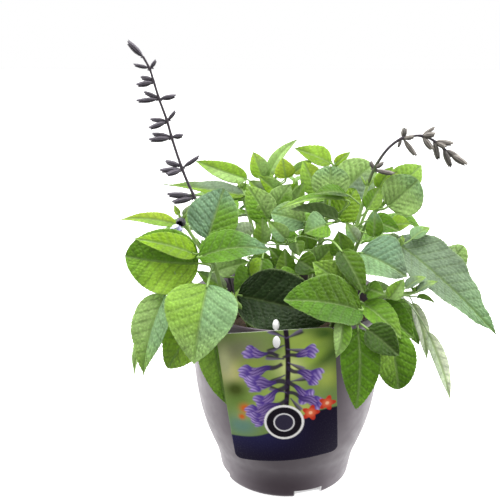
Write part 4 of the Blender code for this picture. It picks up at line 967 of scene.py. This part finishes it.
# Middle, size, turn and colour of each blurred patch of the background.
SOFT_PATCHES = (
    ((-26, 38), (20, 12), 0.2, linear(120, 124, 92)), ((-31, 22), (9, 8), 0.0, linear(214, 204, 140)),
    ((-18, 26), (12, 8), 0.5, linear(138, 156, 74)), ((24, 42), (18, 5), 0.5, linear(158, 182, 76)),
    ((32, 30), (12, 6), 0.6, linear(66, 92, 44)), ((22, 30), (14, 5), 0.6, linear(140, 168, 66)),
    ((33, 14), (9, 8), 0.2, linear(164, 180, 86)), ((-30, 0), (8, 12), 0.1, linear(110, 140, 66)),
    ((8, 24), (9, 9), 0.0, linear(196, 206, 132)), ((-2, 6), (14, 7), 0.0, linear(150, 172, 84)),
    ((-30, -20), (12, 10), 0.1, linear(104, 140, 124)), ((-16, -8), (14, 6), 0.2, linear(170, 188, 96)),
    ((12, -8), (16, 6), 0.1, linear(176, 190, 100)), ((34, -4), (8, 8), 0.3, linear(116, 140, 84)),
    ((30, 48), (10, 5), 0.0, linear(60, 92, 36)), ((-36, 30), (5, 14), 0.0, linear(176, 180, 132)),
    ((-31, 9), (7, 6), 0.0, linear(72, 86, 36)), ((14, 44), (12, 5), 0.2, linear(150, 172, 80)),
)
ORANGE_SPOTS = (((-26, -6), 3.6), ((-29, -13), 2.2))
# Foot, direction in degrees, length and size of each blossom.
BLOSSOMS = (((-3, 35), 172, 17, 0.9), ((-2, 26), 196, 22, 1.2), ((9, 33), 8, 15, 0.9),
            ((0, 14), 182, 19, 1.2), ((1, 9), 216, 19, 1.1), ((10, 22), -24, 17, 1.2),
            ((9, 12), -50, 15, 1.1), ((1, -1), 204, 25, 1.2), ((9, 4), -28, 20, 1.0),
            ((0, -12), 190, 20, 1.1))
# Foot and direction in degrees of each dark calyx along the printed stem.
PRINTED_CALYCES = (((6, 47), 152), ((7, 46), 24), ((5, 41), 200), ((7, 38), -12), ((4, 31), 170),
                   ((7, 28), -30), ((4, 19), 206), ((8, 14), 8), ((4, 6), 160), ((7, 1), -58),
                   ((3, -6), 214), ((5, -10), -30))
CALYX_LENGTH = 13
RED_FLOWERS = (((20, -12), 6.6), ((32, -6), 6.4))
RING_MIDDLE = (0.8, -18)
RING_RADIUS = 14.2
# Share of the ring's radius at which each disc of the emblem fades in, and its colour.
RING_DISCS = ((1.02, (240, 238, 236)), (0.9, (30, 26, 34)), (0.55, (226, 224, 226)), (0.48, (52, 48, 66)))


def turned_about(u, v, centre, turn):
    across, up = u - centre[0], v - centre[1]
    return (across * math.cos(turn) + up * math.sin(turn),
            -across * math.sin(turn) + up * math.cos(turn))


def lay(paint, tone, share):
    return mix(paint, tone, np.clip(share, 0, 1)[..., None])


def card_paint(u, v):
    """The printed colour at each point: a soft green garden, violet blossoms and a dark foot."""
    paint = np.broadcast_to(GARDEN, u.shape + (3,)).copy()
    for centre, size, turn, tone in SOFT_PATCHES:
        a, b = turned_about(u, v, centre, turn)
        paint = lay(paint, tone, 1.1 * np.exp(-((a / size[0]) ** 2 + (b / size[1]) ** 2)))
    for centre, size in ORANGE_SPOTS:
        gap = np.hypot(u - centre[0], v - centre[1])
        paint = lay(paint, ORANGE, 1.2 * np.exp(-(gap / size) ** 2))
    soft_u = u + 0.8 * np.sin(0.42 * v + 0.3 * u)
    soft_v = v + 0.8 * np.sin(0.46 * u - 0.2 * v + 1.3)
    stem = 4 + 3.2 * np.sin(v / 26)
    stem_share = smooth_step(2.2, 1.2, np.abs(u - stem)) * smooth_step(-24, -20, v)
    paint = lay(paint, STEM_INK, stem_share)
    for foot, degrees in PRINTED_CALYCES:
        a, b = turned_about(u, v, foot, math.radians(degrees))
        half = 0.5 + 1.3 * smooth_step(0, 0.8 * CALYX_LENGTH, a)
        shape = smooth_step(1.3, 0.7, np.abs(b) / half)
        shape = shape * smooth_step(-1, 0, a) * smooth_step(CALYX_LENGTH, CALYX_LENGTH - 2, a)
        tone = mix(*CALYX_INKS, smooth_step(-1.2, 1.4, b)[..., None])
        paint = lay(paint, tone, 0.9 * shape)
    for foot, degrees, length, size in BLOSSOMS:
        a, b = turned_about(soft_u, soft_v, foot, math.radians(degrees))
        neck = smooth_step(1.9 * size, 0.9 * size, np.abs(b)) * smooth_step(-6, -4, a) * smooth_step(5, 3, a)
        paint = lay(paint, NECK_INK, 0.95 * neck)
        half = size * (1.2 + 3.4 * smooth_step(0.1, 0.9, a / length))
        tube_share = smooth_step(1.15, 0.85, np.abs(b) / half)
        tube_share = tube_share * smooth_step(2, 4, a) * smooth_step(length * 1.02, length * 0.9, a)
        streak = 0.5 + 0.3 * np.sin(b * 2.6 + 0.3 * a) + 0.2 * np.sin(4.1 * b - 1.3 * a)
        streak = (streak * smooth_step(2, length, a))[..., None]
        paint = mix(paint, mix(*TUBE_INKS, streak), tube_share[..., None])
        for lobe in (-1, 0, 1):
            c, d = a - length * (0.92 + 0.08 * (lobe == 0)), b - lobe * 3.6 * size
            petal = smooth_step(1.25, 0.8, np.hypot(c / (3.4 * size), d / (2.2 * size)))
            light = smooth_step(-3, 3, c) * (0.6 + 0.4 * np.sin(1.8 * a + 2.3 * b))
            tone = mix(*LOBE_INKS, light[..., None])
            paint = mix(paint, tone, petal[..., None])
    edge = -31 + 22 * smooth_step(-38, 42, u) + 1.2 * np.sin(u / 9)
    band = smooth_step(0.8, -0.8, v - edge)
    navy = mix(NAVY, BLUE_BAND, (0.8 * smooth_step(-52, -24, v) * smooth_step(28, -20, u))[..., None])
    paint = mix(paint, navy, band[..., None])
    for centre, size in RED_FLOWERS:
        a, b = u - centre[0], v - centre[1]
        reach = np.hypot(a, b)
        petals = size * (0.8 + 0.2 * np.cos(5 * np.arctan2(b, a)))
        tone = mix(*RED_INKS, smooth_step(0.1, 0.8, reach / size)[..., None])
        paint = mix(paint, tone, smooth_step(1.06, 0.94, reach / petals)[..., None])
        paint = lay(paint, RED_MIDDLE, smooth_step(1.6, 1.0, reach))
    ring = np.hypot(u - RING_MIDDLE[0], v - RING_MIDDLE[1]) / RING_RADIUS
    for share, colour in RING_DISCS:
        paint = lay(paint, linear(*colour), smooth_step(share, share - 0.03, ring))
    return paint


def add_card(gathered):
    """The card: a fine bowed sheet with rounded corners and a hole, printed on its face."""
    columns, rows = round(CARD_WIDTH / CARD_STEP), round(CARD_HEIGHT / CARD_STEP)
    v, s = np.meshgrid(np.linspace(-CARD_HEIGHT / 2, CARD_HEIGHT / 2, rows + 1),
                       np.linspace(-0.5, 0.5, columns + 1), indexing="ij")
    near_end = np.maximum(0, np.abs(v) - (CARD_HEIGHT / 2 - CARD_CORNER))
    corner = CARD_CORNER - np.sqrt(np.maximum(0, CARD_CORNER ** 2 - near_end ** 2))
    u = s * (CARD_WIDTH - 2 * corner)
    face = card_place(u, v)
    rear = face + np.array((0, CARD_THICKNESS, 0))
    white = np.broadcast_to(linear(222, 222, 218), face.shape)
    kept = np.hypot(u - PIN_HOLE[0], v - PIN_HOLE[1])[:-1, :-1].ravel() >= PIN_HOLE_RADIUS
    add_sheet(gathered, rear, face, white, card_paint(u, v), kept)


POT_FINE_SIDES = 180
# Radius and height of the lip's inner side, and radius of the inside at the floor.
LIP_INSIDE = ((75.0, POT_HEIGHT), (73.0, 143.0))
FLOOR_RADIUS = 49.0
# Heights between which the inside follows the outside.
WALL_HEIGHTS = (20, 138)
SHARP_EDGE = math.radians(40)
PLASTIC = linear(62, 50, 58)
PLASTIC_SHEEN = (1.0, 0.93, 1.0, 1.0)
EARTH = linear(52, 40, 32)
EARTH_LIGHT = linear(96, 78, 60)
PIN = linear(236, 236, 234)


def fine_profile(points):
    """A smooth line through a profile's points of radius and height."""
    route = smooth_route([(radius, 0, height) for radius, height in points], 5)
    return [(p.x, p.z) for p in route]


def notch_boxes():
    """The drain notches in the edge of the foot, at angles from the front."""
    boxes = []
    for angle in NOTCH_ANGLES:
        turn = math.radians(angle)
        centre = Vector((math.sin(turn), -math.cos(turn), 0)) * (FOOT_RADIUS + 1)
        across = Vector((math.cos(turn), math.sin(turn), 0)) * (NOTCH_SIZE[0] / 2)
        ahead = Vector((-math.sin(turn), math.cos(turn), 0)) * (NOTCH_SIZE[1] / 2)
        lift = Vector((0, 0, NOTCH_SIZE[2] / 2))
        corners = [centre + sx * across + sy * ahead + sz * lift
                   for sz in (-1, 1) for sx, sy in ((-1, -1), (1, -1), (1, 1), (-1, 1))]
        faces = [(3, 2, 1, 0), (4, 5, 6, 7)] + [(k, (k + 1) % 4, (k + 1) % 4 + 4, k + 4) for k in range(4)]
        boxes.append((corners, faces))
    return boxes


def make_pot(material):
    """The pot, turned finely, with its drain notches cut out of the foot."""
    outside = fine_profile(POT_SIDE[:11])
    lip = fine_profile(POT_SIDE[10:] + LIP_INSIDE)[1:]
    low, high = WALL_HEIGHTS
    inside = [(radius - POT_WALL, height) for radius, height in reversed(outside) if low < height < high]
    inside.append((FLOOR_RADIUS, FLOOR_THICKNESS))
    profile = np.array(outside + lip + inside)
    radius, height = profile[:, :1], profile[:, 1:]
    angle = around(POT_FINE_SIDES)[None, :]
    rings = np.stack((radius * np.cos(angle), radius * np.sin(angle), height + 0 * angle), axis=-1)
    gathered = Gathered()
    add_shell(gathered, rings, PLASTIC, [(0, 0, profile[0, 1]), (0, 0, profile[-1, 1])])
    pot = gathered.piece("pot_shell", [material])
    for corners, faces in notch_boxes():
        mesh = bpy.data.meshes.new("notch")
        mesh.from_pydata([tuple(c * MM) for c in corners], [], faces)
        mesh.materials.append(material)
        cutter = bpy.data.objects.new("notch", mesh)
        bpy.context.scene.collection.objects.link(cutter)
        hole = pot.modifiers.new("notch", "BOOLEAN")
        hole.operation = "DIFFERENCE"
        hole.object = cutter
        hole.solver = "EXACT"
        shaped = bpy.data.meshes.new_from_object(pot.evaluated_get(bpy.context.evaluated_depsgraph_get()))
        pot.modifiers.clear()
        pot.data = shaped
        bpy.data.objects.remove(cutter)
    pot.data.shade_smooth()
    pot.data.set_sharp_from_angle(angle=SHARP_EDGE)
    return pot


SOIL_SIDES = 120
SOIL_RINGS = 44
SOIL_REACH = 72.2
# Radius and height of the soil's side, down along the inside of the pot.
SOIL_WALL = ((71.7, 112), (69.3, 82), (62.5, 45.5), (52.5, 22.5), (48.1, FLOOR_THICKNESS + GAP))
CRUMBS = 420
CRUMB_REACH = 70
CRUMB_SIZES = (0.6, 2.3)


def add_soil(gathered, draw):
    """Crumbly potting soil, level with hollows, with loose crumbs on it."""
    radius = np.linspace(0.5, SOIL_REACH, SOIL_RINGS + 1)[:, None]
    angle = around(SOIL_SIDES)[None, :]
    x, y = radius * np.cos(angle), radius * np.sin(angle)
    first, _ = cells(x / 3.4 + 20, y / 3.4 + 20)
    fine, _ = cells(x / 1.5 + 40, y / 1.5 + 30)
    height = SOIL_TOP + 1.1 * ripple(x / 9, y / 9) + 1.5 * (0.7 - first) + 0.5 * (0.6 - fine)
    height = height - 1.2 * smooth_step(66, 72, radius)
    # The lumps are painted lighter and the hollows darker: painted shade in the hollows.
    light = np.clip(0.5 + 0.9 * (0.6 - first) + 0.3 * ripple(x, y), 0, 1)
    tones = mix(EARTH * 0.6, EARTH_LIGHT, (0.6 * light)[..., None])
    side = np.array(SOIL_WALL)[:, :, None]
    wall = np.stack((side[:, 0] * np.cos(angle), side[:, 0] * np.sin(angle), side[:, 1] + 0 * angle), axis=-1)
    rings = np.concatenate((np.stack((x, y, height), axis=-1), wall))
    tones = np.concatenate((tones, np.broadcast_to(EARTH, wall.shape)))
    add_shell(gathered, rings, tones, [(0, 0, SOIL_TOP), (0, 0, FLOOR_THICKNESS + GAP)], [EARTH, EARTH],
              inward=True)
    for _ in range(CRUMBS):
        turn, reach = draw.uniform(0, 2 * math.pi), CRUMB_REACH * math.sqrt(draw.uniform(0, 1))
        size = draw.uniform(*CRUMB_SIZES)
        add_crumb(gathered, (reach * math.cos(turn), reach * math.sin(turn), SOIL_TOP + 0.6), size, draw)


def add_crumb(gathered, centre, size, draw):
    """A small uneven lump of soil."""
    rows, columns = 5, 7
    t = np.linspace(0.08, 0.92, rows)[:, None]
    angle = around(columns)[None, :] + draw.uniform(0, 3)
    reach = size * np.sin(np.pi * t) * draw.uniform(0.75, 1.15, (rows, columns))
    stretch = draw.uniform(0.6, 1.5)
    points = np.stack((centre[0] + reach * np.cos(angle) * stretch, centre[1] + reach * np.sin(angle),
                       centre[2] - size * 0.7 * np.cos(np.pi * t) + 0 * angle), axis=-1)
    add_shell(gathered, points, mix(EARTH * 0.7, EARTH_LIGHT, draw.uniform(0, 0.8)))


SHAFT_RADIUS = 1.7
# Half sizes of the lobe in front of the card and of the knob above it.
PIN_LOBE = (2.6, 1.4, 4.4)
PIN_KNOB = (2.4, 3.4, 4.0)
PIN_LOBE_SHIFT = (0, -1.8, -1.5)
PIN_KNOB_SIDE = -0.6
PIN_KNOB_DEPTH = -75.6
PIN_KNOB_RISE = 4.3


def add_ball(gathered, centre, radii):
    """A smooth white lobe of the pin."""
    polar = np.linspace(0, np.pi, 17)[1:-1, None]
    angle = around(24)[None, :]
    sphere = np.stack((np.sin(polar) * np.cos(angle), np.sin(polar) * np.sin(angle),
                       -np.cos(polar) + 0 * angle), axis=-1)
    ends = [centre - (0, 0, radii[2]), centre + (0, 0, radii[2])]
    add_shell(gathered, sphere * radii + centre, PIN, ends)


def add_pin(gathered):
    """The white pin: knob, strap behind the card, shaft and the lobe in front."""
    hole = card_place(*PIN_HOLE)
    back = hole + (0, CARD_THICKNESS + GAP + STRAP_RADIUS, 0)
    front = hole + PIN_LOBE_SHIFT
    rim = np.array((hole[0] + PIN_KNOB_SIDE, PIN_KNOB_DEPTH, POT_HEIGHT + PIN_KNOB_RISE))
    add_ball(gathered, front, PIN_LOBE)
    add_ball(gathered, rim, PIN_KNOB)
    shaft = np.linspace(front, back + (0, 0.3, 0), 5)
    strap = np.linspace(back - (0, 0, 1.5), (rim[0], back[1], rim[2]), 12)
    add_tube(gathered, shaft, np.full(5, SHAFT_RADIUS), PIN, 16)
    add_tube(gathered, strap, np.full(12, STRAP_RADIUS), PIN, 12)


class Nodes:
    """A node tree, with short ways to add and join its nodes."""

    def __init__(self, tree):
        self.tree = tree

    def feed(self, socket, value):
        """Join an output to a socket, or set the socket to a number or colour."""
        if isinstance(value, bpy.types.NodeSocket):
            self.tree.links.new(value, socket)
        else:
            socket.default_value = value

    def node(self, kind, output, inputs=None, **settings):
        """The named output of a new node that is given its inputs and settings."""
        made = self.tree.nodes.new(kind)
        for name, value in settings.items():
            setattr(made, name, value)
        for key, value in (inputs or {}).items():
            self.feed(made.inputs[key], value)
        return made.outputs[output]

    def ranged(self, value, low, high, start=0.3, end=0.7):
        return self.node("ShaderNodeMapRange", "Result", {"Value": value, "From Min": start, "From Max": end,
                                                          "To Min": low, "To Max": high})

    def product(self, first, second):
        return self.node("ShaderNodeMath", "Value", {0: first, 1: second}, operation="MULTIPLY")

    def choice(self, share, first, second):
        return self.node("ShaderNodeMix", "Result", {"Factor": share, "A": first, "B": second})


class Surface(Nodes):
    """A material's nodes round its Principled shader."""

    def __init__(self, name, roughness, specular=0.5):
        self.material = bpy.data.materials.new(name)
        self.material.use_nodes = True
        super().__init__(self.material.node_tree)
        self.shader = self.tree.nodes["Principled BSDF"]
        self.shade({"Roughness": roughness, "Specular IOR Level": specular})
        self.place = self.node("ShaderNodeTexCoord", "Object")

    def shade(self, values):
        """Give the shader's sockets numbers, colours or outputs."""
        for name, value in values.items():
            self.feed(self.shader.inputs[name], value)

    def tone(self):
        return self.node("ShaderNodeAttribute", "Color", attribute_name="tone")

    def noise(self, scale, detail=3.0, stretch=(1.0, 1.0, 1.0)):
        place = self.place
        if stretch != (1.0, 1.0, 1.0):
            place = self.node("ShaderNodeMapping", "Vector", {"Vector": place, "Scale": stretch})
        return self.node("ShaderNodeTexNoise", "Fac", {"Vector": place, "Scale": scale, "Detail": detail})

    def spots(self, scale):
        return self.node("ShaderNodeTexVoronoi", "Distance", {"Vector": self.place, "Scale": scale})

    def scaled(self, colour, value):
        """A colour made lighter or darker by a number."""
        return self.node("ShaderNodeVectorMath", "Vector", {0: colour, "Scale": value}, operation="SCALE")

    def bump(self, value, strength, distance, under=None):
        inputs = {"Strength": strength, "Distance": distance, "Height": value}
        if under:
            inputs["Normal"] = under
        return self.node("ShaderNodeBump", "Normal", inputs)


# By how much light let through a leaf is changed in red, green and blue.
WARM_LIGHT = (1.25, 1.3, 0.55)


def leaf_material(name, roughness, glow):
    """A velvety blade: mottled green, fine wrinkles, and some light let through."""
    skin = Surface(name, roughness, 0.2)
    mottle = skin.ranged(skin.noise(120, 4), 0.86, 1.12)
    grain = skin.ranged(skin.noise(900, 2), 0.93, 1.07)
    colour = skin.scaled(skin.scaled(skin.tone(), mottle), grain)
    wrinkles = skin.bump(skin.spots(1100), 0.25, 0.0002)
    skin.shade({"Base Color": colour,
                "Normal": skin.bump(skin.noise(2600, 2), 0.2, 0.0001, wrinkles),
                "Roughness": skin.ranged(skin.noise(300, 2), roughness - 0.06, roughness + 0.1),
                "Sheen Weight": 0.06, "Sheen Roughness": 0.4, "Sheen Tint": (0.85, 0.95, 1.0, 1.0)})
    warm = skin.node("ShaderNodeVectorMath", "Vector", {0: colour, 1: WARM_LIGHT}, operation="MULTIPLY")
    through = skin.node("ShaderNodeBsdfTranslucent", "BSDF", {"Color": warm})
    blend = skin.node("ShaderNodeMixShader", "Shader",
                      {"Fac": glow, 1: skin.shader.outputs["BSDF"], 2: through})
    skin.feed(skin.tree.nodes["Material Output"].inputs["Surface"], blend)
    return skin.material


def toned_surface(name, roughness, low, high, scale, bump, bump_scale, specular=0.5):
    """A surface in its own tones with soft uneven colour, gloss and relief."""
    skin = Surface(name, roughness, specular)
    skin.shade({"Base Color": skin.scaled(skin.tone(), skin.ranged(skin.noise(scale, 4), low, high)),
                "Roughness": skin.ranged(skin.noise(scale * 2.3, 3), roughness - 0.05, roughness + 0.07),
                "Normal": skin.bump(skin.noise(bump_scale, 3), bump, 0.0002)})
    return skin


def pot_material():
    """Moulded plastic: very slight flow marks, an even satin skin and a few dull scuffs."""
    skin = toned_surface("plastic_skin", 0.42, 0.97, 1.03, 60, 0.04, 1400, 0.95)
    flow = skin.ranged(skin.noise(14, 3, (1.0, 1.0, 0.15)), 0.97, 1.03)
    colour = skin.shader.inputs["Base Color"].links[0].from_socket
    skin.shade({"Base Color": skin.scaled(colour, flow), "Specular Tint": PLASTIC_SHEEN})
    return skin.material


STAGE_HALF = 6.0
STAGE_DROP = 0.0004
STAGE_GLOW = 0.6
# Name, place, point looked at, size and power of each lamp, in metres and watts.
LAMPS = (("top", (0.1, -0.35, 1.5), (0, 0, 0.15), (1.2, 1.0), 16),
         ("left", (-1.3, 0.1, 0.45), (0, 0, 0.12), (0.9, 1.2), 10),
         ("right", (1.3, 0.1, 0.45), (0, 0, 0.12), (0.9, 1.2), 10))
SENSOR_WIDTH = 36
FOCAL_LENGTH = 781 / 500 * SENSOR_WIDTH
CAMERA_PLACE = (0, -0.573, 0.3445)
CAMERA_TURNS = (math.radians(90 - 15.9), 0, math.radians(2.85))


def placed(item):
    bpy.context.scene.collection.objects.link(item)
    return item


def add_stage():
    """A plain white floor that glows a little and lights nothing."""
    mesh = bpy.data.meshes.new("floor")
    corners = [(x * STAGE_HALF, y * STAGE_HALF, 0) for x, y in ((-1, -1), (1, -1), (1, 1), (-1, 1))]
    mesh.from_pydata(corners, [], [(0, 1, 2, 3)])
    floor = placed(bpy.data.objects.new("floor", mesh))
    floor.location.z = -STAGE_DROP
    skin = Surface("floor_white", 0.9, 0.1)
    skin.shade({"Base Color": skin.scaled((0.97, 0.97, 0.97), skin.ranged(skin.noise(3, 2), 0.99, 1.0)),
                "Emission Color": (1, 1, 1, 1), "Emission Strength": STAGE_GLOW})
    mesh.materials.append(skin.material)
    floor.visible_diffuse = False
    floor.visible_glossy = False


def add_lamp(name, place, target, size, power):
    lamp = bpy.data.lights.new(name, "AREA")
    lamp.shape = "RECTANGLE"
    lamp.size, lamp.size_y = size
    lamp.energy = power
    item = placed(bpy.data.objects.new(name, lamp))
    item.location = place
    item.rotation_euler = (Vector(target) - Vector(place)).to_track_quat("-Z", "Y").to_euler()


def set_world():
    """A white studio: plain white to the eye, and less light from the front and from below."""
    world = bpy.data.worlds.new("studio")
    bpy.context.scene.world = world
    world.use_nodes = True
    nodes = Nodes(world.node_tree)
    way = nodes.node("ShaderNodeTexCoord", "Generated")
    y = nodes.node("ShaderNodeSeparateXYZ", "Y", {"Vector": way})
    z = nodes.node("ShaderNodeSeparateXYZ", "Z", {"Vector": way})
    light = nodes.product(nodes.ranged(y, 0.9, 1.3, -0.7, -0.1), nodes.ranged(z, 0.4, 1.0, -0.5, 0.15))
    mirrored = nodes.product(nodes.ranged(y, 0.1, 4.8, -0.6, 0.3), nodes.ranged(z, 0.4, 1.0, -0.7, 0.3))
    seen = nodes.choice(nodes.node("ShaderNodeLightPath", "Is Glossy Ray"), light, mirrored)
    shown = nodes.choice(nodes.node("ShaderNodeLightPath", "Is Camera Ray"), seen, 1.0)
    background = nodes.tree.nodes["Background"]
    nodes.feed(background.inputs["Color"], (1, 1, 1, 1))
    nodes.feed(background.inputs["Strength"], shown)


def add_camera():
    lens = bpy.data.cameras.new("camera")
    lens.sensor_width = SENSOR_WIDTH
    lens.lens = FOCAL_LENGTH
    camera = placed(bpy.data.objects.new("camera", lens))
    camera.location = CAMERA_PLACE
    camera.rotation_euler = CAMERA_TURNS
    bpy.context.scene.camera = camera


LEAF_SEED = 100
SPIKE_SEED = 55
SOIL_SEED = 77


def dress(piece, slot, node):
    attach(piece, "root")
    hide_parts(node)


def dress_leaves():
    """One piece for each shoot: its stem, stalks, blades and hairs."""
    skins = [leaf_material("leaf_skin", 0.5, 0.22),
             toned_surface("stem_skin", 0.5, 0.9, 1.1, 200, 0.3, 1800).material]
    for index, (name, shoot) in enumerate(all_shoots().items()):
        gathered = Gathered()
        step = COARSE_STEP if "back" in name or "behind" in name else FINE_STEP
        add_shoot(gathered, settled(name, shoot), step, np.random.RandomState(LEAF_SEED + index))
        dress(gathered.piece(f"{name}_leaves", skins), "leaf_green", name)


def dress_rest():
    """The spikes, the old flower, the card, its pin, the soil and the pot."""
    flower_skin = toned_surface("calyx_skin", 0.55, 0.8, 1.2, 500, 0.4, 2400)
    petal_skin = toned_surface("petal_skin", 0.45, 0.92, 1.06, 300, 0.3, 1800)
    card_skin = toned_surface("card_skin", 0.24, 0.98, 1.02, 400, 0.02, 900, 0.06)
    soil_skin = toned_surface("soil_skin", 0.9, 0.6, 1.3, 700, 0.8, 2200, 0.2)
    pin_skin = toned_surface("pin_skin", 0.32, 0.97, 1.02, 300, 0.08, 900)
    left, right, hood, petals, card, soil, pin = (Gathered() for _ in range(7))
    draw = np.random.RandomState(SPIKE_SEED)
    add_spike(left, LEFT_SPIKE_STEM, LEFT_CALYCES, SPIKE_DARK, SPIKE_DARK, CALYX_DARK, CALYX_RIB_SHEEN, draw)
    add_spike(right, RIGHT_SPIKE_STEM, RIGHT_CALYCES, SPIKE_GREEN, SPIKE_DARK, BROWN_DARK, BROWN_RIB_SHEEN, draw)
    add_calyx(hood, *OLD_FLOWER_CALYX, OLD_FLOWER_RADIUS, HOOD_DARK, CALYX_DARK, draw, 0.8)
    add_petals(petals)
    add_card(card)
    add_soil(soil, np.random.RandomState(SOIL_SEED))
    add_pin(pin)
    for gathered, name, skin, slot, node in (
            (left, "spike_left_bells", flower_skin, "flower_dark", "flower_spike_left"),
            (right, "spike_right_bells", flower_skin, "flower_dark", "flower_spike_right"),
            (hood, "old_flower_hood", flower_skin, "flower_dark", "old_flower_calyx"),
            (petals, "old_flower_lips", petal_skin, "petal_pale", "old_flower_petals"),
            (card, "printed_card", card_skin, "card_print", "card"),
            (soil, "potting_soil", soil_skin, "soil", "soil"),
            (pin, "white_pin", pin_skin, "pin_white", "card_pin")):
        dress(gathered.piece(name, [skin.material]), slot, node)
    dress(make_pot(pot_material()), "pot_plastic", "pot")


dress_leaves()
dress_rest()
add_stage()
for lamp_row in LAMPS:
    add_lamp(*lamp_row)
set_world()
add_camera()
bpy.context.scene.view_settings.view_transform = "Standard"
bpy.context.scene.view_settings.look = "None"
